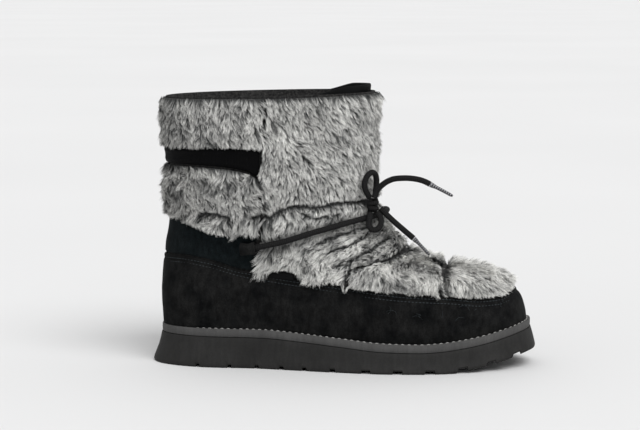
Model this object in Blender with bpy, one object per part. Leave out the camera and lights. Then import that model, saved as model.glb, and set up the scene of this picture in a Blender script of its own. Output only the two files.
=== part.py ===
"""Fur mukluk boot, right foot, built as closed solids. Toe +X, up +Z, outer side -Y.

Sizes are in millimetres here and leave this file in metres.
"""

import bpy
import numpy as np

OUTER, MIDDLE, INNER = -1, 0, 1

# Main sizes
SOLE_LENGTH = 281.0
BALL_HALF = 45.5
SHAFT_TALL = 199.0
HEEL_TALL = 27.8
TOE_SPRING = 12.6
HALF_SOLE = SOLE_LENGTH / 2
COLLAR_DROP = 4.0

WALL = 2.4
GAP = 0.35
FACET_ROOM = 0.75
SUEDE_THICK = 1.4
PILE, LOCK = 4.2, 3.3


def in_sizes(columns, rows, sizes):
    """A table's columns by name, each times the size that it is a share of."""
    return dict(zip(columns.split(), (np.array(rows, float) * sizes).T))


# Foot and shaft form, outside of the shell, by height
SHELL_ROWS = (
    (0.101, -0.929, 0.922, 0.945, 0.128, 2.50, 2.7),
    (0.171, -0.936, 0.934, 1.000, 0.128, 2.50, 2.7),
    (0.231, -0.942, 0.920, 1.022, 0.114, 2.40, 2.7),
    (0.271, -0.942, 0.886, 1.011, 0.093, 2.25, 2.7),
    (0.302, -0.940, 0.833, 0.989, 0.057, 2.10, 2.6),
    (0.327, -0.937, 0.751, 0.967, 0.014, 1.95, 2.6),
    (0.347, -0.934, 0.626, 0.945, -0.036, 1.85, 2.5),
    (0.362, -0.932, 0.520, 0.930, -0.071, 1.80, 2.5),
    (0.392, -0.927, 0.406, 0.912, -0.128, 1.80, 2.5),
    (0.442, -0.918, 0.292, 0.901, -0.214, 1.90, 2.4),
    (0.503, -0.906, 0.210, 0.901, -0.299, 2.00, 2.3),
    (0.578, -0.899, 0.167, 0.912, -0.363, 2.10, 2.2),
    (0.678, -0.905, 0.146, 0.945, -0.384, 2.15, 2.2),
    (0.804, -0.922, 0.146, 0.989, -0.388, 2.15, 2.2),
    (1.055, -0.932, 0.171, 1.033, -0.384, 2.15, 2.2),
)
SHELL = in_sizes(
    "height back front half_width widest_at nose_power heel_power",
    SHELL_ROWS,
    (SHAFT_TALL, HALF_SOLE, HALF_SOLE, BALL_HALF, HALF_SOLE, 1, 1),
)

# Left and right curve of the foot, fading out up the ankle
PLAN_ROWS = (
    (-0.940, 0.000, 1.00, 1.00),
    (-0.712, 0.000, 0.93, 0.93),
    (-0.427, 0.000, 0.79, 0.77),
    (-0.214, 0.011, 0.86, 0.76),
    (0.000, 0.011, 0.95, 0.83),
    (0.249, 0.000, 1.01, 0.95),
    (0.427, 0.011, 1.01, 1.03),
    (0.641, 0.066, 0.98, 1.04),
    (0.940, 0.154, 0.95, 1.00),
)
PLAN = in_sizes("along shift outer_share inner_share", PLAN_ROWS, (HALF_SOLE, BALL_HALF, 1, 1))
PLAN_FULL_BELOW, PLAN_GONE_ABOVE = 0.302 * SHAFT_TALL, 0.563 * SHAFT_TALL

# Sole
SOLE_ROWS = (
    (-1.004, 1.000, 0.000),
    (-0.890, 1.000, 0.000),
    (-0.391, 0.993, 0.000),
    (-0.178, 0.935, 0.000),
    (0.000, 0.860, 0.000),
    (0.249, 0.755, 0.000),
    (0.427, 0.737, 0.000),
    (0.541, 0.766, 0.000),
    (0.641, 0.827, 0.119),
    (0.747, 0.921, 0.317),
    (0.868, 1.076, 0.635),
    (0.975, 1.216, 0.968),
    (1.004, 1.241, 1.000),
)
SOLE = in_sizes("along welt_top ground", SOLE_ROWS, (HALF_SOLE, HEEL_TALL, TOE_SPRING))
SOLE_CENTRE = 0.128 * HALF_SOLE
SOLE_FLARE = 7.5
WELT_THICK, WELT_LEDGE = 5.6, 4.2
INSOLE_THICK = 4.0
GROOVE_WIDE, GROOVE_DEEP, GROOVE_DRAFT = 6.2, 2.2, 0.7
GROOVE_ROWS = (
    (-0.730, 0.452),
    (-0.562, 0.452),
    (-0.419, 0.452),
    (-0.288, 0.452),
    (-0.167, 0.452),
    (-0.019, 0.548),
    (0.155, 0.968),
    (0.318, 1.000),
    (0.481, 1.000),
    (0.645, 1.000),
    (0.787, 0.903),
    (0.914, 0.742),
)

GROOVES = in_sizes("along width", GROOVE_ROWS, (HALF_SOLE, GROOVE_WIDE))
GROOVES = tuple(zip(GROOVES["along"], GROOVES["width"]))

# Top edge of the suede mudguard
SEAM_ROWS = (
    (-0.940, 0.397),
    (-0.819, 0.402),
    (-0.662, 0.389),
    (-0.527, 0.361),
    (-0.320, 0.339),
    (-0.057, 0.317),
    (0.320, 0.286),
    (0.569, 0.273),
    (0.733, 0.260),
    (0.811, 0.261),
    (0.854, 0.268),
    (0.897, 0.283),
)
SEAM = in_sizes("along height", SEAM_ROWS, (HALF_SOLE, SHAFT_TALL))
SEAM_ROOM = 0.7

LACE = 4.2
LACE_MARKS = (
    (-0.459, 0.447),
    (-0.382, 0.458),
    (-0.260, 0.476),
    (-0.139, 0.500),
    (-0.020, 0.521),
    (0.061, 0.534),
    (0.138, 0.543),
)
LACE_LIFT = 7.3
KNOT_MARK, KNOT_LIFT, KNOT_HALF, KNOT_ROUND = (0.110, 0.588), 11.6, 5.0, 4.6

SUEDE, RUBBER, WELT_GREY = (0.012, 0.012, 0.014), (0.028, 0.028, 0.028), (0.09, 0.09, 0.088)
FUR, LINING, WEBBING = (0.22, 0.22, 0.21), (0.05, 0.05, 0.05), (0.008, 0.008, 0.009)
CORD, TIP_METAL = (0.01, 0.01, 0.01), (0.25, 0.25, 0.27)


def smooth(at, places, values):
    """A monotone cubic through the table, held level beyond its ends."""
    at = np.clip(np.asarray(at, float), places[0], places[-1])
    step = np.diff(places)
    slope = np.diff(values) / step
    pair = slope[:-1] * slope[1:]
    total = slope[:-1] + slope[1:]
    middle = np.where(pair > 0, 2 * pair / np.where(pair > 0, total, 1), 0)
    tangent = np.concatenate(([slope[0]], middle, [slope[-1]]))
    k = np.clip(np.searchsorted(places, at, side="right") - 1, 0, len(step) - 1)
    t = (at - places[k]) / step[k]
    rise = values[k] * (1 + 2 * t) * (1 - t) ** 2 + values[k + 1] * t * t * (3 - 2 * t)
    return rise + step[k] * (tangent[k] * t * (1 - t) ** 2 - tangent[k + 1] * t * t * (1 - t))


def shell(column, height):
    return smooth(height, SHELL["height"], SHELL[column])


def plan(column, along, height):
    full = smooth(along, PLAN["along"], PLAN[column])
    level = 0.0 if column == "shift" else 1.0
    t = np.clip((PLAN_GONE_ABOVE - height) / (PLAN_GONE_ABOVE - PLAN_FULL_BELOW), 0, 1)
    return level + (full - level) * t * t * (3 - 2 * t)


def side_share(along, height, side):
    return np.where(side < 0, plan("outer_share", along, height), plan("inner_share", along, height))


def gauge(points):
    """Below 0 inside the shell, above 0 outside it."""
    along, across, height = points[..., 0], points[..., 1], points[..., 2]
    widest = shell("widest_at", height)
    ahead = along > widest
    reach = np.where(ahead, shell("front", height) - widest, widest - shell("back", height))
    power = np.where(ahead, shell("nose_power", height), shell("heel_power", height))
    off = across - plan("shift", along, height)
    width = shell("half_width", height) * side_share(along, height, off)
    total = (np.abs(along - widest) / reach) ** power + (np.abs(off) / width) ** power
    return total ** (1 / power) - 1


def slope_of(points, step=0.4):
    out = np.empty_like(points)
    for axis in range(3):
        move = np.zeros(3)
        move[axis] = step
        out[..., axis] = (gauge(points + move) - gauge(points - move)) / (2 * step)
    return out


def onto_shell(points):
    for _ in range(12):
        rise = slope_of(points)
        points = points - rise * (gauge(points) / (rise**2).sum(-1))[..., None]
    return points


def outward(points):
    rise = slope_of(points)
    return rise / np.linalg.norm(rise, axis=-1, keepdims=True)


def lifted(points, amount):
    amount = np.asarray(amount, float)
    return points + outward(points) * (amount[..., None] if amount.ndim else amount)


def side_point(along, height, side):
    """A point of the shell on the outer or inner side."""
    widest = shell("widest_at", height)
    ahead = along > widest
    reach = np.where(ahead, shell("front", height) - widest, widest - shell("back", height))
    power = np.where(ahead, shell("nose_power", height), shell("heel_power", height))
    left = np.clip(1 - (np.abs(along - widest) / reach) ** power, 0, 1) ** (1 / power)
    width = shell("half_width", height) * side_share(along, height, side)
    across = plan("shift", along, height) + side * width * left
    return np.stack(np.broadcast_arrays(along, across, height), -1)


def loop_round(height_at, back_end, front_end, pairs):
    """A closed loop on the shell, from the heel along the outer side and back."""
    turn = np.linspace(np.pi, 0, pairs + 1)
    along = (back_end + front_end) / 2 + (front_end - back_end) / 2 * np.cos(turn)
    height = height_at(along)
    going = side_point(along, height, OUTER)
    coming = side_point(along, height, INNER)[1:-1][::-1]
    return np.concatenate((going, coming))


def loop_on_line(height_at, pairs):
    front_end, back_end = 0.85 * HALF_SOLE, -0.92 * HALF_SOLE
    for _ in range(40):
        front_end += 0.5 * (shell("front", height_at(front_end)) - front_end)
        back_end += 0.5 * (shell("back", height_at(back_end)) - back_end)
    return loop_round(height_at, back_end, front_end, pairs)


def welt_line(along):
    return smooth(along, SOLE["along"], SOLE["welt_top"])


def seam_line(along):
    return smooth(along, SEAM["along"], SEAM["height"])


# Meshes
def finish(name, points, faces, colour, roughness=0.8, metallic=0.0):
    """One closed object with its own material, its faces turned outwards."""
    points = np.asarray(points, float) / 1000
    volume = 0.0
    for face in faces:
        for k in range(1, len(face) - 1):
            a, b, c = points[face[0]], points[face[k]], points[face[k + 1]]
            volume += np.dot(a, np.cross(b, c))
    if volume < 0:
        faces = [face[::-1] for face in faces]
    mesh = bpy.data.meshes.new(name)
    mesh.from_pydata(points.tolist(), [], [list(map(int, face)) for face in faces])
    material = bpy.data.materials.new(name)
    material.use_nodes = True
    shader = material.node_tree.nodes["Principled BSDF"]
    shader.inputs["Base Color"].default_value = (*colour, 1)
    shader.inputs["Roughness"].default_value = roughness
    shader.inputs["Metallic"].default_value = metallic
    mesh.materials.append(material)
    made = bpy.data.objects.new(name, mesh)
    bpy.context.scene.collection.objects.link(made)
    return made


def sheet_faces(rows, columns, start, closed):
    last = columns if closed else columns - 1
    faces = []
    for r in range(rows - 1):
        for c in range(last):
            d = (c + 1) % columns
            at = start + r * columns
            faces.append((at + c, at + d, at + columns + d, at + columns + c))
    return faces


def thick_sheet(name, low, high, closed, colour, roughness=0.8):
    """A solid between two grids of points. A closed grid joins its last column to its first."""
    rows, columns = low.shape[:2]
    count = rows * columns
    points = np.concatenate((low.reshape(-1, 3), high.reshape(-1, 3)))
    faces = sheet_faces(rows, columns, count, closed)
    faces += [face[::-1] for face in sheet_faces(rows, columns, 0, closed)]
    rim = []
    last = columns if closed else columns - 1
    for c in range(last):
        d = (c + 1) % columns
        rim.append((c, d))
        rim.append(((rows - 1) * columns + d, (rows - 1) * columns + c))
    if not closed:
        for r in range(rows - 1):
            rim.append(((r + 1) * columns, r * columns))
            rim.append((r * columns + columns - 1, (r + 1) * columns + columns - 1))
    faces += [(a, b, b + count, a + count) for a, b in rim]
    return finish(name, points, faces, colour, roughness)


def plate(name, loops, colour, roughness=0.8):
    """A solid of stacked loops, closed below and above by rungs from side to side."""
    count = len(loops[0])
    faces = []
    for k in range(len(loops) - 1):
        for c in range(count):
            d = (c + 1) % count
            faces.append((k * count + c, k * count + d, (k + 1) * count + d, (k + 1) * count + c))
    for start, turned in ((0, True), ((len(loops) - 1) * count, False)):
        for c in range(count // 2):
            rung = [start + c, start + c + 1, start + (count - c - 1) % count, start + (count - c) % count]
            rung = list(dict.fromkeys(rung))
            faces.append(rung[::-1] if turned else rung)
    return finish(name, np.concatenate(loops), faces, colour, roughness)


def run_along(line):
    return np.concatenate(([0], np.cumsum(np.linalg.norm(np.diff(line, axis=0), axis=1))))


def even_points(line, count):
    run = run_along(line)
    even = np.linspace(0, run[-1], count)
    return np.stack([np.interp(even, run, line[:, axis]) for axis in range(3)], -1)


def smoothed(marks, count):
    """Evenly spaced points on a smooth line through the marks."""
    marks = np.asarray(marks, float)
    run = run_along(marks)
    fine = np.linspace(0, run[-1], 400)
    return even_points(np.stack([smooth(fine, run, marks[:, axis]) for axis in range(3)], -1), count)


def swept(marks, count):
    """Evenly spaced points on a round bend through the marks, for free cords."""
    marks = np.asarray(marks, float)
    run = run_along(marks)
    step = np.diff(run)[:, None]
    slope = np.diff(marks, axis=0) / step
    middle = (slope[:-1] * step[1:] + slope[1:] * step[:-1]) / (step[:-1] + step[1:])
    tangent = np.concatenate((2 * slope[:1] - middle[:1], middle, 2 * slope[-1:] - middle[-1:]))
    fine = np.linspace(0, run[-1], 1200)
    k = np.clip(np.searchsorted(run, fine, side="right") - 1, 0, len(step) - 1)
    t = (fine[:, None] - run[k, None]) / step[k]
    line = marks[k] * (1 + 2 * t) * (1 - t) ** 2 + marks[k + 1] * t * t * (3 - 2 * t)
    line += step[k] * (tangent[k] * t * (1 - t) ** 2 - tangent[k + 1] * t * t * (1 - t))
    return even_points(line, count)


def tube(name, line, radius, colour, sides=6, roughness=0.8, metallic=0.0):
    """A round bar along a line. Its radius is one size or one size per point."""
    line = np.asarray(line, float)
    radius = np.broadcast_to(radius, len(line))
    ahead = np.gradient(line, axis=0)
    ahead /= np.linalg.norm(ahead, axis=1, keepdims=True)
    across = np.cross(ahead[0], (0.13, 0.21, 1.0))
    turn = np.arange(sides) * 2 * np.pi / sides
    points = []
    for k in range(len(line)):
        across = across - ahead[k] * np.dot(across, ahead[k])
        across /= np.linalg.norm(across)
        up = np.cross(ahead[k], across)
        points.append(line[k] + radius[k] * (np.outer(np.cos(turn), across) + np.outer(np.sin(turn), up)))
    faces = sheet_faces(len(line), sides, 0, True)
    faces.append(tuple(range(sides))[::-1])
    faces.append(tuple((len(line) - 1) * sides + c for c in range(sides)))
    return finish(name, np.concatenate(points), faces, colour, roughness, metallic)


# Patches laid on the shell
def mark_point(along, height, side):
    """A mark of the shell, given as shares of the half sole and of the shaft's height."""
    height = height * SHAFT_TALL
    if side == MIDDLE:
        reach = shell("front" if along > 0 else "back", height)
        return np.array((reach, plan("shift", reach, height), height), float)
    return side_point(along * HALF_SOLE, height, side)


def seam_mark(along, room=SEAM_ROOM):
    """A mark just above the mudguard's top edge."""
    return along, float(seam_line(along * HALF_SOLE) + room) / SHAFT_TALL


def moved(marks, along=0.0, height=0.0):
    return [(x + along / HALF_SOLE, z + height / SHAFT_TALL) for x, z in marks]


def edge(marks, count):
    line = smoothed([mark_point(*mark) for mark in marks], count)
    return onto_shell(line)


def both_sides(marks, middle):
    """Marks of the outer side, the middle mark, then the same marks on the inner side."""
    outer = [(along, height, OUTER) for along, height in marks]
    inner = [(along, height, INNER) for along, height in reversed(marks)]
    return outer + [(*middle, MIDDLE)] + inner


def patch(start, end, rows, columns, shares=None, first=None, last=None):
    """Grid points on the shell between a start and an end line of marks."""
    start, end = edge(start, columns), edge(end, columns)
    shares = np.linspace(0, 1, rows) if shares is None else shares

    def side_line(marks, a, b):
        if marks is None:
            return a + (b - a) * shares[:, None]
        fine = edge(marks, 101)
        return np.stack([np.interp(shares, np.linspace(0, 1, 101), fine[:, axis]) for axis in range(3)], -1)

    one, two = side_line(first, start[0], end[0]), side_line(last, start[-1], end[-1])
    a = shares[:, None, None]
    b = np.linspace(0, 1, columns)[None, :, None]
    corners = (1 - a) * ((1 - b) * start[0] + b * start[-1]) + a * ((1 - b) * end[0] + b * end[-1])
    grid = (1 - a) * start[None] + a * end[None] + (1 - b) * one[:, None] + b * two[:, None] - corners
    return onto_shell(grid)


def lock_rows(locks, tip_share=0.76):
    """Row places of fur: each lock rises from its root to its tip, then drops to the next."""
    places = [0.0]
    for k in range(locks):
        places += [(k + tip_share) / locks, (k + 1) / locks]
    return np.array(places)


def lock_lift(rows, columns, base, lock, seed):
    """How far each grid point of a fur face stands off the shell."""
    chance = np.random.default_rng(seed)
    row, column = np.mgrid[0:rows, 0:columns]
    tip = row % 2 == 1
    crown = (column + (row + 1) // 2) % 2 == 0
    share = np.where(tip, np.where(crown, 1.0, 0.30), np.where(crown, 0.12, 0.0))
    lift = base + lock * share + chance.uniform(-0.35, 0.35, (rows, columns))
    rim = (row == 0) | (row == rows - 1) | (column == 0) | (column == columns - 1)
    return np.where(rim, 2.7 + chance.uniform(-0.3, 0.3, (rows, columns)), lift)


def fur_piece(name, grid, seed, pile=PILE, room=FACET_ROOM, press=None):
    lift = lock_lift(*grid.shape[:2], pile, LOCK * pile / PILE, seed)
    low = room + GAP
    if press is not None:
        lift = low + 0.8 + (lift - low - 0.8) * press(grid)
    thick_sheet(name, lifted(grid, low), lifted(grid, lift), False, FUR, 0.95)


def lace_line(along):
    marks = in_sizes("along height", LACE_MARKS, (HALF_SOLE, SHAFT_TALL))
    return smooth(along, marks["along"], marks["height"])


def press_of_lace(grid):
    """The share of pile height left where the lace is drawn tight."""
    off = (grid[..., 2] - lace_line(grid[..., 0])) / 7.5
    near = np.exp(-(off**2))
    return 1 - 0.80 * near


# Sole
def sole_stations(count):
    """Places along the sole, 0 at the heel and 1 at the toe, closer at both ends and at each groove."""
    plain = (1 - np.cos(np.linspace(0, np.pi, count))) / 2
    cuts = []
    for centre, width in GROOVES:
        half = width / 2
        cuts += [centre - half - GROOVE_DRAFT, centre - half, centre + half, centre + half + GROOVE_DRAFT]
    cuts = np.array(cuts) / SOLE_LENGTH + 0.5
    kept = [x for x in plain if np.min(np.abs(cuts - x)) > 0.008]
    return np.sort(np.concatenate((kept, cuts)))


def in_groove(along):
    return any(abs(along - centre) < width / 2 + 0.01 for centre, width in GROOVES)


def sole_loop(stations, heel_in, toe_in, grow, height_at):
    """A loop of the sole's outline at the stations, its ends this far in from the sole's."""
    back_end, front_end = heel_in - HALF_SOLE, HALF_SOLE - toe_in
    along = back_end + stations * (front_end - back_end)
    ahead = along > SOLE_CENTRE
    reach = np.where(ahead, front_end - SOLE_CENTRE, SOLE_CENTRE - back_end)
    power = np.where(ahead, 2.5, 2.7)
    left = np.clip(1 - (np.abs(along - SOLE_CENTRE) / reach) ** power, 0, 1) ** (1 / power)
    height = height_at(along)
    sides = []
    for side in (OUTER, INNER):
        width = BALL_HALF * side_share(along, HEEL_TALL, side) + grow
        across = plan("shift", along, HEEL_TALL) + side * width * left
        sides.append(np.stack((along, across, height), -1))
    return np.concatenate((sides[0], sides[1][1:-1][::-1]))


def make_outsole():
    stations = sole_stations(34)
    places = (stations - 0.5) * SOLE_LENGTH
    raised = np.array([GROOVE_DEEP if in_groove(x) else 0.0 for x in places])
    raised = np.concatenate((raised, raised[1:-1][::-1]))

    def ground(along):
        return smooth(along, SOLE["along"], SOLE["ground"])

    def under_welt(along):
        return welt_line(along) - WELT_THICK - GAP

    foot = sole_loop(stations, 1.3, 0.9, SOLE_FLARE - 1.2, ground)
    foot[:, 2] += raised
    flare = sole_loop(stations, 0.0, 0.0, SOLE_FLARE, lambda x: ground(x) + 1.3)
    flare[:, 2] += raised
    waist = sole_loop(stations, 3.9, 1.7, SOLE_FLARE - 2.1, lambda x: (ground(x) + under_welt(x) * 1.2) / 2.2)
    head = sole_loop(stations, 6.3, 3.7, WELT_LEDGE + 0.3, under_welt)
    plate("outsole", (foot, flare, waist, head), RUBBER, 0.7)


def even_stations(count):
    return (1 - np.cos(np.linspace(0, np.pi, count))) / 2


def make_welt():
    stations = even_stations(34)
    low = sole_loop(stations, 6.5, 3.9, WELT_LEDGE + 0.1, lambda x: welt_line(x) - WELT_THICK)
    high = sole_loop(stations, 6.7, 4.1, WELT_LEDGE - 0.1, welt_line)
    plate("welt", (low, high), WELT_GREY, 0.6)


def make_insole():
    stations = even_stations(26)
    inset = WALL + 3.0
    low = sole_loop(stations, 13.9, 14.9, -inset, lambda x: welt_line(x) + GAP)
    high = sole_loop(stations, 13.7, 14.7, 0.2 - inset, lambda x: welt_line(x) + GAP + INSOLE_THICK)
    plate("insole", (low, high), LINING, 0.9)


# Upper
LEVELS = (
    (0.166, 0.142, 1.00),
    (0.196, 0.186, 0.85),
    (0.231, 0.236, 0.60),
    (0.264, 0.286, 0.35),
    (0.291, 0.332, 0.15),
    (0.314, 0.367, 0.00),
    (0.334, 0.399, 0.00),
    (0.351, 0.432, 0.00),
    (0.369, 0.467, 0.00),
    (0.402, 0.508, 0.00),
    (0.452, 0.553, 0.00),
    (0.518, 0.603, 0.00),
    (0.603, 0.663, 0.00),
    (0.729, 0.754, 0.00),
    (0.869, 0.869, 0.00),
    (1.000, 1.000, 0.00),
)


def level_loop(front_share, back_share, sole_share, pairs=20):
    """A loop of the shell from a height at the back to one at the front, some of it along the sole."""
    front_height = front_share * SHAFT_TALL
    back_height = back_share * (SHAFT_TALL - COLLAR_DROP * back_share)
    front_end, back_end = shell("front", front_height), shell("back", back_height)

    def height_at(along):
        t = (along - back_end) / (front_end - back_end)
        chord = welt_line(back_end) + (welt_line(front_end) - welt_line(back_end)) * t
        sag = welt_line(along) - chord
        return back_height + (front_height - back_height) * t + sag * sole_share

    return loop_round(height_at, back_end, front_end, pairs)


def make_upper():
    outside = np.stack([level_loop(*row) for row in LEVELS])
    outside[0, :, 2] = welt_line(outside[0, :, 0]) + GAP
    ways = outward(outside)
    ways[0, :, 2] = 0
    ways /= np.linalg.norm(ways, axis=-1, keepdims=True)
    inside = outside - ways * WALL
    thick_sheet("upper", inside, outside, True, LINING, 0.9)


def make_mudguard():
    def share_line(share):
        def height_at(along):
            low, high = welt_line(along) + GAP, seam_line(along)
            return low + (high - low) * share

        return loop_on_line(height_at, 24)

    grid = np.stack([share_line(share) for share in (0.0, 0.3, 0.65, 1.0)])
    faces = [lifted(grid, lift) for lift in (FACET_ROOM + 0.15, FACET_ROOM + 0.15 + SUEDE_THICK)]
    for face in faces:
        face[0, :, 2] = welt_line(face[0, :, 0]) + GAP
    thick_sheet("mudguard", *faces, True, SUEDE, 0.9)


HEEL_EDGE = ((-0.420, 0.501), (-0.555, 0.486), (-0.640, 0.493), (-0.720, 0.513), (-0.790, 0.529))
HEEL_EDGE_BACK = (-0.904, 0.541)


def make_heel_counter():
    start = both_sides([seam_mark(x) for x in (-0.423, -0.534, -0.662, -0.804)], seam_mark(-0.94, 0.9))
    end = both_sides(HEEL_EDGE, HEEL_EDGE_BACK)
    grid = patch(start, end, 4, 23)
    thick_sheet("heel_counter", lifted(grid, 0.5), lifted(grid, 0.5 + SUEDE_THICK), False, SUEDE, 0.9)


# Fur, each piece from its root line to the line that its locks fall to
TOE_CREASE = ((0.523, 0.278), (0.537, 0.322), (0.544, 0.347))
INSTEP_FOLD = ((0.060, 0.309), (0.075, 0.359), (0.171, 0.377), (0.278, 0.397))
INSTEP_REAR = (
    (-0.406, 0.368),
    (-0.391, 0.422),
    (-0.386, 0.492),
    (-0.374, 0.548),
    (-0.313, 0.579),
    (-0.157, 0.599),
    (0.036, 0.604),
)
INSTEP_FOOT = ((0.039, 0.313), (-0.057, 0.323), (-0.157, 0.337), (-0.235, 0.361), (-0.406, 0.368))
ANKLE_CREASE = ((-0.367, 0.565), (-0.306, 0.594), (-0.157, 0.615), (0.036, 0.620))
SHAFT_TOP = ((-0.356, 0.981), (-0.178, 0.985), (0.036, 0.991))
SHAFT_SIDE = ((-0.356, 0.981), (-0.370, 0.804), (-0.388, 0.693), (-0.367, 0.565))
CUFF_TOP = ((-0.403, 0.690), (-0.461, 0.713), (-0.570, 0.726), (-0.705, 0.731), (-0.826, 0.731))
CUFF_TOP_BACK = (-0.911, 0.731)
CUFF_SIDE = ((-0.403, 0.690), (-0.395, 0.568), (-0.420, 0.509))
TRIM_FOOT = ((-0.385, 0.812), (-0.534, 0.812), (-0.769, 0.808))
TRIM_TOP = ((-0.370, 0.981), (-0.534, 0.980), (-0.769, 0.976))


def on_side(marks, side):
    return [(x, z, side) for x, z in marks]


def fur_grid(start, start_middle, end, end_middle, locks, columns, side_marks=None):
    """A grid from the start line to the end line, both running over the middle of the boot."""
    rows = 2 * locks + 1
    sides = (None, None) if side_marks is None else (on_side(side_marks, OUTER), on_side(side_marks, INNER))
    start, end = both_sides(start, start_middle), both_sides(end, end_middle)
    return patch(start, end, rows, columns, lock_rows(locks), *sides)


def make_toe_fur():
    toe_line = [seam_mark(x) for x in (0.705, 0.769, 0.826)]
    side_line = [seam_mark(x) for x in (0.523, 0.612, 0.705)]
    grid = fur_grid(TOE_CREASE, (0.544, 0.358), toe_line, (0.861, 0.286), 4, 17, side_line)
    fur_piece("fur_toe", grid, 3)


def make_vamp_fur():
    side_line = [seam_mark(x) for x in (0.504, 0.285, 0.060)]
    crease = moved(TOE_CREASE[:2], -2.7) + moved(TOE_CREASE[2:], -4.0, 0.6)
    grid = fur_grid(crease, (0.516, 0.363), INSTEP_FOLD, (0.349, 0.416), 4, 21, side_line)
    fur_piece("fur_vamp", grid, 5)


def make_instep_fur():
    fold = moved(INSTEP_FOLD, -3.0, 0.8)
    grid = fur_grid(fold, (0.324, 0.425), INSTEP_REAR, (0.157, 0.588), 4, 33, INSTEP_FOOT)
    fur_piece("fur_instep", grid, 7, PILE, 1.15, press_of_lace)


def make_shaft_fur():
    grid = fur_grid(SHAFT_TOP, (0.157, 0.995), ANKLE_CREASE, (0.157, 0.606), 5, 25, SHAFT_SIDE)
    fur_piece("fur_shaft", grid, 9, PILE, 0.95)


def make_cuff_fur():
    low = moved(HEEL_EDGE, 0.0, 1.6)
    back = moved([HEEL_EDGE_BACK], 0.0, 1.6)[0]
    grid = fur_grid(CUFF_TOP, CUFF_TOP_BACK, low, back, 3, 23, CUFF_SIDE)
    fur_piece("fur_cuff", grid, 11, PILE + 0.6)


def make_collar_fur():
    grid = fur_grid(TRIM_TOP, (-0.932, 0.975), TRIM_FOOT, (-0.929, 0.805), 3, 19)
    fur_piece("fur_collar", grid, 13)


def make_elastic():
    high = moved(((-0.389, 0.812), *TRIM_FOOT[1:], (-0.826, 0.807)), 0.0, -1.2)
    low = moved(CUFF_TOP, 0.0, 1.5)
    grid = patch(both_sides(high, (-0.925, 0.799)), both_sides(low, (-0.911, 0.7385)), 3, 25)
    thick_sheet("elastic_band", lifted(grid, 0.6), lifted(grid, 2.3), False, WEBBING, 0.7)


def make_tongue():
    """The black top piece, standing just inside the front of the shell."""
    low = ((-0.100, 0.864), (0.057, 0.864))
    high = ((-0.085, 0.996), (0.057, 1.021))
    grid = patch(both_sides(high, (0.157, 1.025)), both_sides(low, (0.142, 0.864)), 4, 13)
    inside = -WALL - GAP - 0.2
    thick_sheet("tongue", lifted(grid, inside - 1.8), lifted(grid, inside), False, SUEDE, 0.85)


def make_label():
    top = on_side(((-0.391, 0.357), (-0.221, 0.350)), OUTER)
    foot = on_side(((-0.391, 0.331), (-0.221, 0.324)), OUTER)
    grid = patch(top, foot, 2, 5)
    thick_sheet("side_label", lifted(grid, 2.8), lifted(grid, 3.7), False, WEBBING, 0.6)


# Lace
def make_tab(name, side):
    """A suede tunnel on the ankle that holds the lace."""
    marks = [(x, float(lace_line(x * HALF_SOLE)) / SHAFT_TALL) for x in (-0.520, -0.470, -0.423)]
    line = smoothed([mark_point(x, z, side) for x, z in marks], 5)
    line = onto_shell(line)
    ahead = np.gradient(line, axis=0)
    ahead /= np.linalg.norm(ahead, axis=1, keepdims=True)
    out = outward(line)
    up = np.cross(out, ahead) * (1 if side == INNER else -1)
    turn = np.linspace(0, 2 * np.pi, 12, endpoint=False)
    hole = LACE / 2 + 0.7
    rings = []
    for reach_up, reach_out, flat in ((hole, hole, 1.0), (6.6, 4.3, 0.55)):
        rise = np.cos(turn) * reach_up
        lift = np.sin(turn) * reach_out
        if flat < 1:
            lift = np.maximum(lift, 0) + np.minimum(lift, 0) * (LACE_LIFT - 2.2) / reach_out
            rise = np.where(lift < -1.0, np.sign(rise) * np.maximum(np.abs(rise), 5.4), rise)
            lift = np.where(lift < -1.0, -(LACE_LIFT - 2.2), lift)
        centre = line + out * LACE_LIFT
        rings.append(centre[:, None] + up[:, None] * rise[None, :, None] + out[:, None] * lift[None, :, None])
    inner, outer = rings
    thick_sheet(name, inner, outer, True, SUEDE, 0.9)


def lace_path():
    outer = [mark_point(x, z, OUTER) for x, z in LACE_MARKS]
    inner = [mark_point(x, z, INNER) for x, z in LACE_MARKS][::-1]
    line = smoothed(outer + [mark_point(0.178, 0.548, MIDDLE)] + inner, 40)
    return lifted(onto_shell(line), LACE_LIFT)


def knot_centre():
    base = onto_shell(mark_point(*KNOT_MARK, OUTER)[None])
    return lifted(base, KNOT_LIFT)[0]


# Ways of the free cords from the knot's centre, as shares of each one's reach: ahead, across, up
LOOP_UP, LOOP_DOWN, UPPER_REACH, LOWER_REACH = 23.6, 17.0, 41.5, 29.2
UP_LOOP = (
    (-0.104, 0.008, 0.246),
    (-0.170, -0.059, 0.364),
    (-0.233, -0.127, 0.538),
    (-0.233, -0.148, 0.733),
    (-0.148, -0.097, 0.919),
    (-0.025, 0.025, 1.000),
    (0.059, 0.148, 0.928),
    (0.085, 0.220, 0.771),
    (0.081, 0.225, 0.585),
    (0.064, 0.186, 0.407),
    (0.059, 0.144, 0.233),
)
DOWN_LOOP = (
    (-0.105, -0.136, -0.346),
    (-0.123, -0.315, -0.586),
    (-0.117, -0.420, -0.846),
    (0.049, -0.438, -0.994),
    (0.278, -0.389, -0.926),
    (0.377, -0.272, -0.698),
    (0.333, -0.173, -0.494),
    (0.216, -0.111, -0.346),
)
UPPER_END = (
    (0.029, -0.053, 0.133),
    (0.072, -0.043, 0.251),
    (0.178, -0.053, 0.369),
    (0.340, -0.082, 0.460),
    (0.523, -0.120, 0.488),
    (0.696, -0.159, 0.487),
    (0.865, -0.188, 0.457),
    (1.000, -0.207, 0.398),
)
UPPER_TIP = (
    (1.012, -0.210, 0.391),
    (1.205, -0.241, 0.301),
    (1.395, -0.277, 0.205),
)
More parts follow.
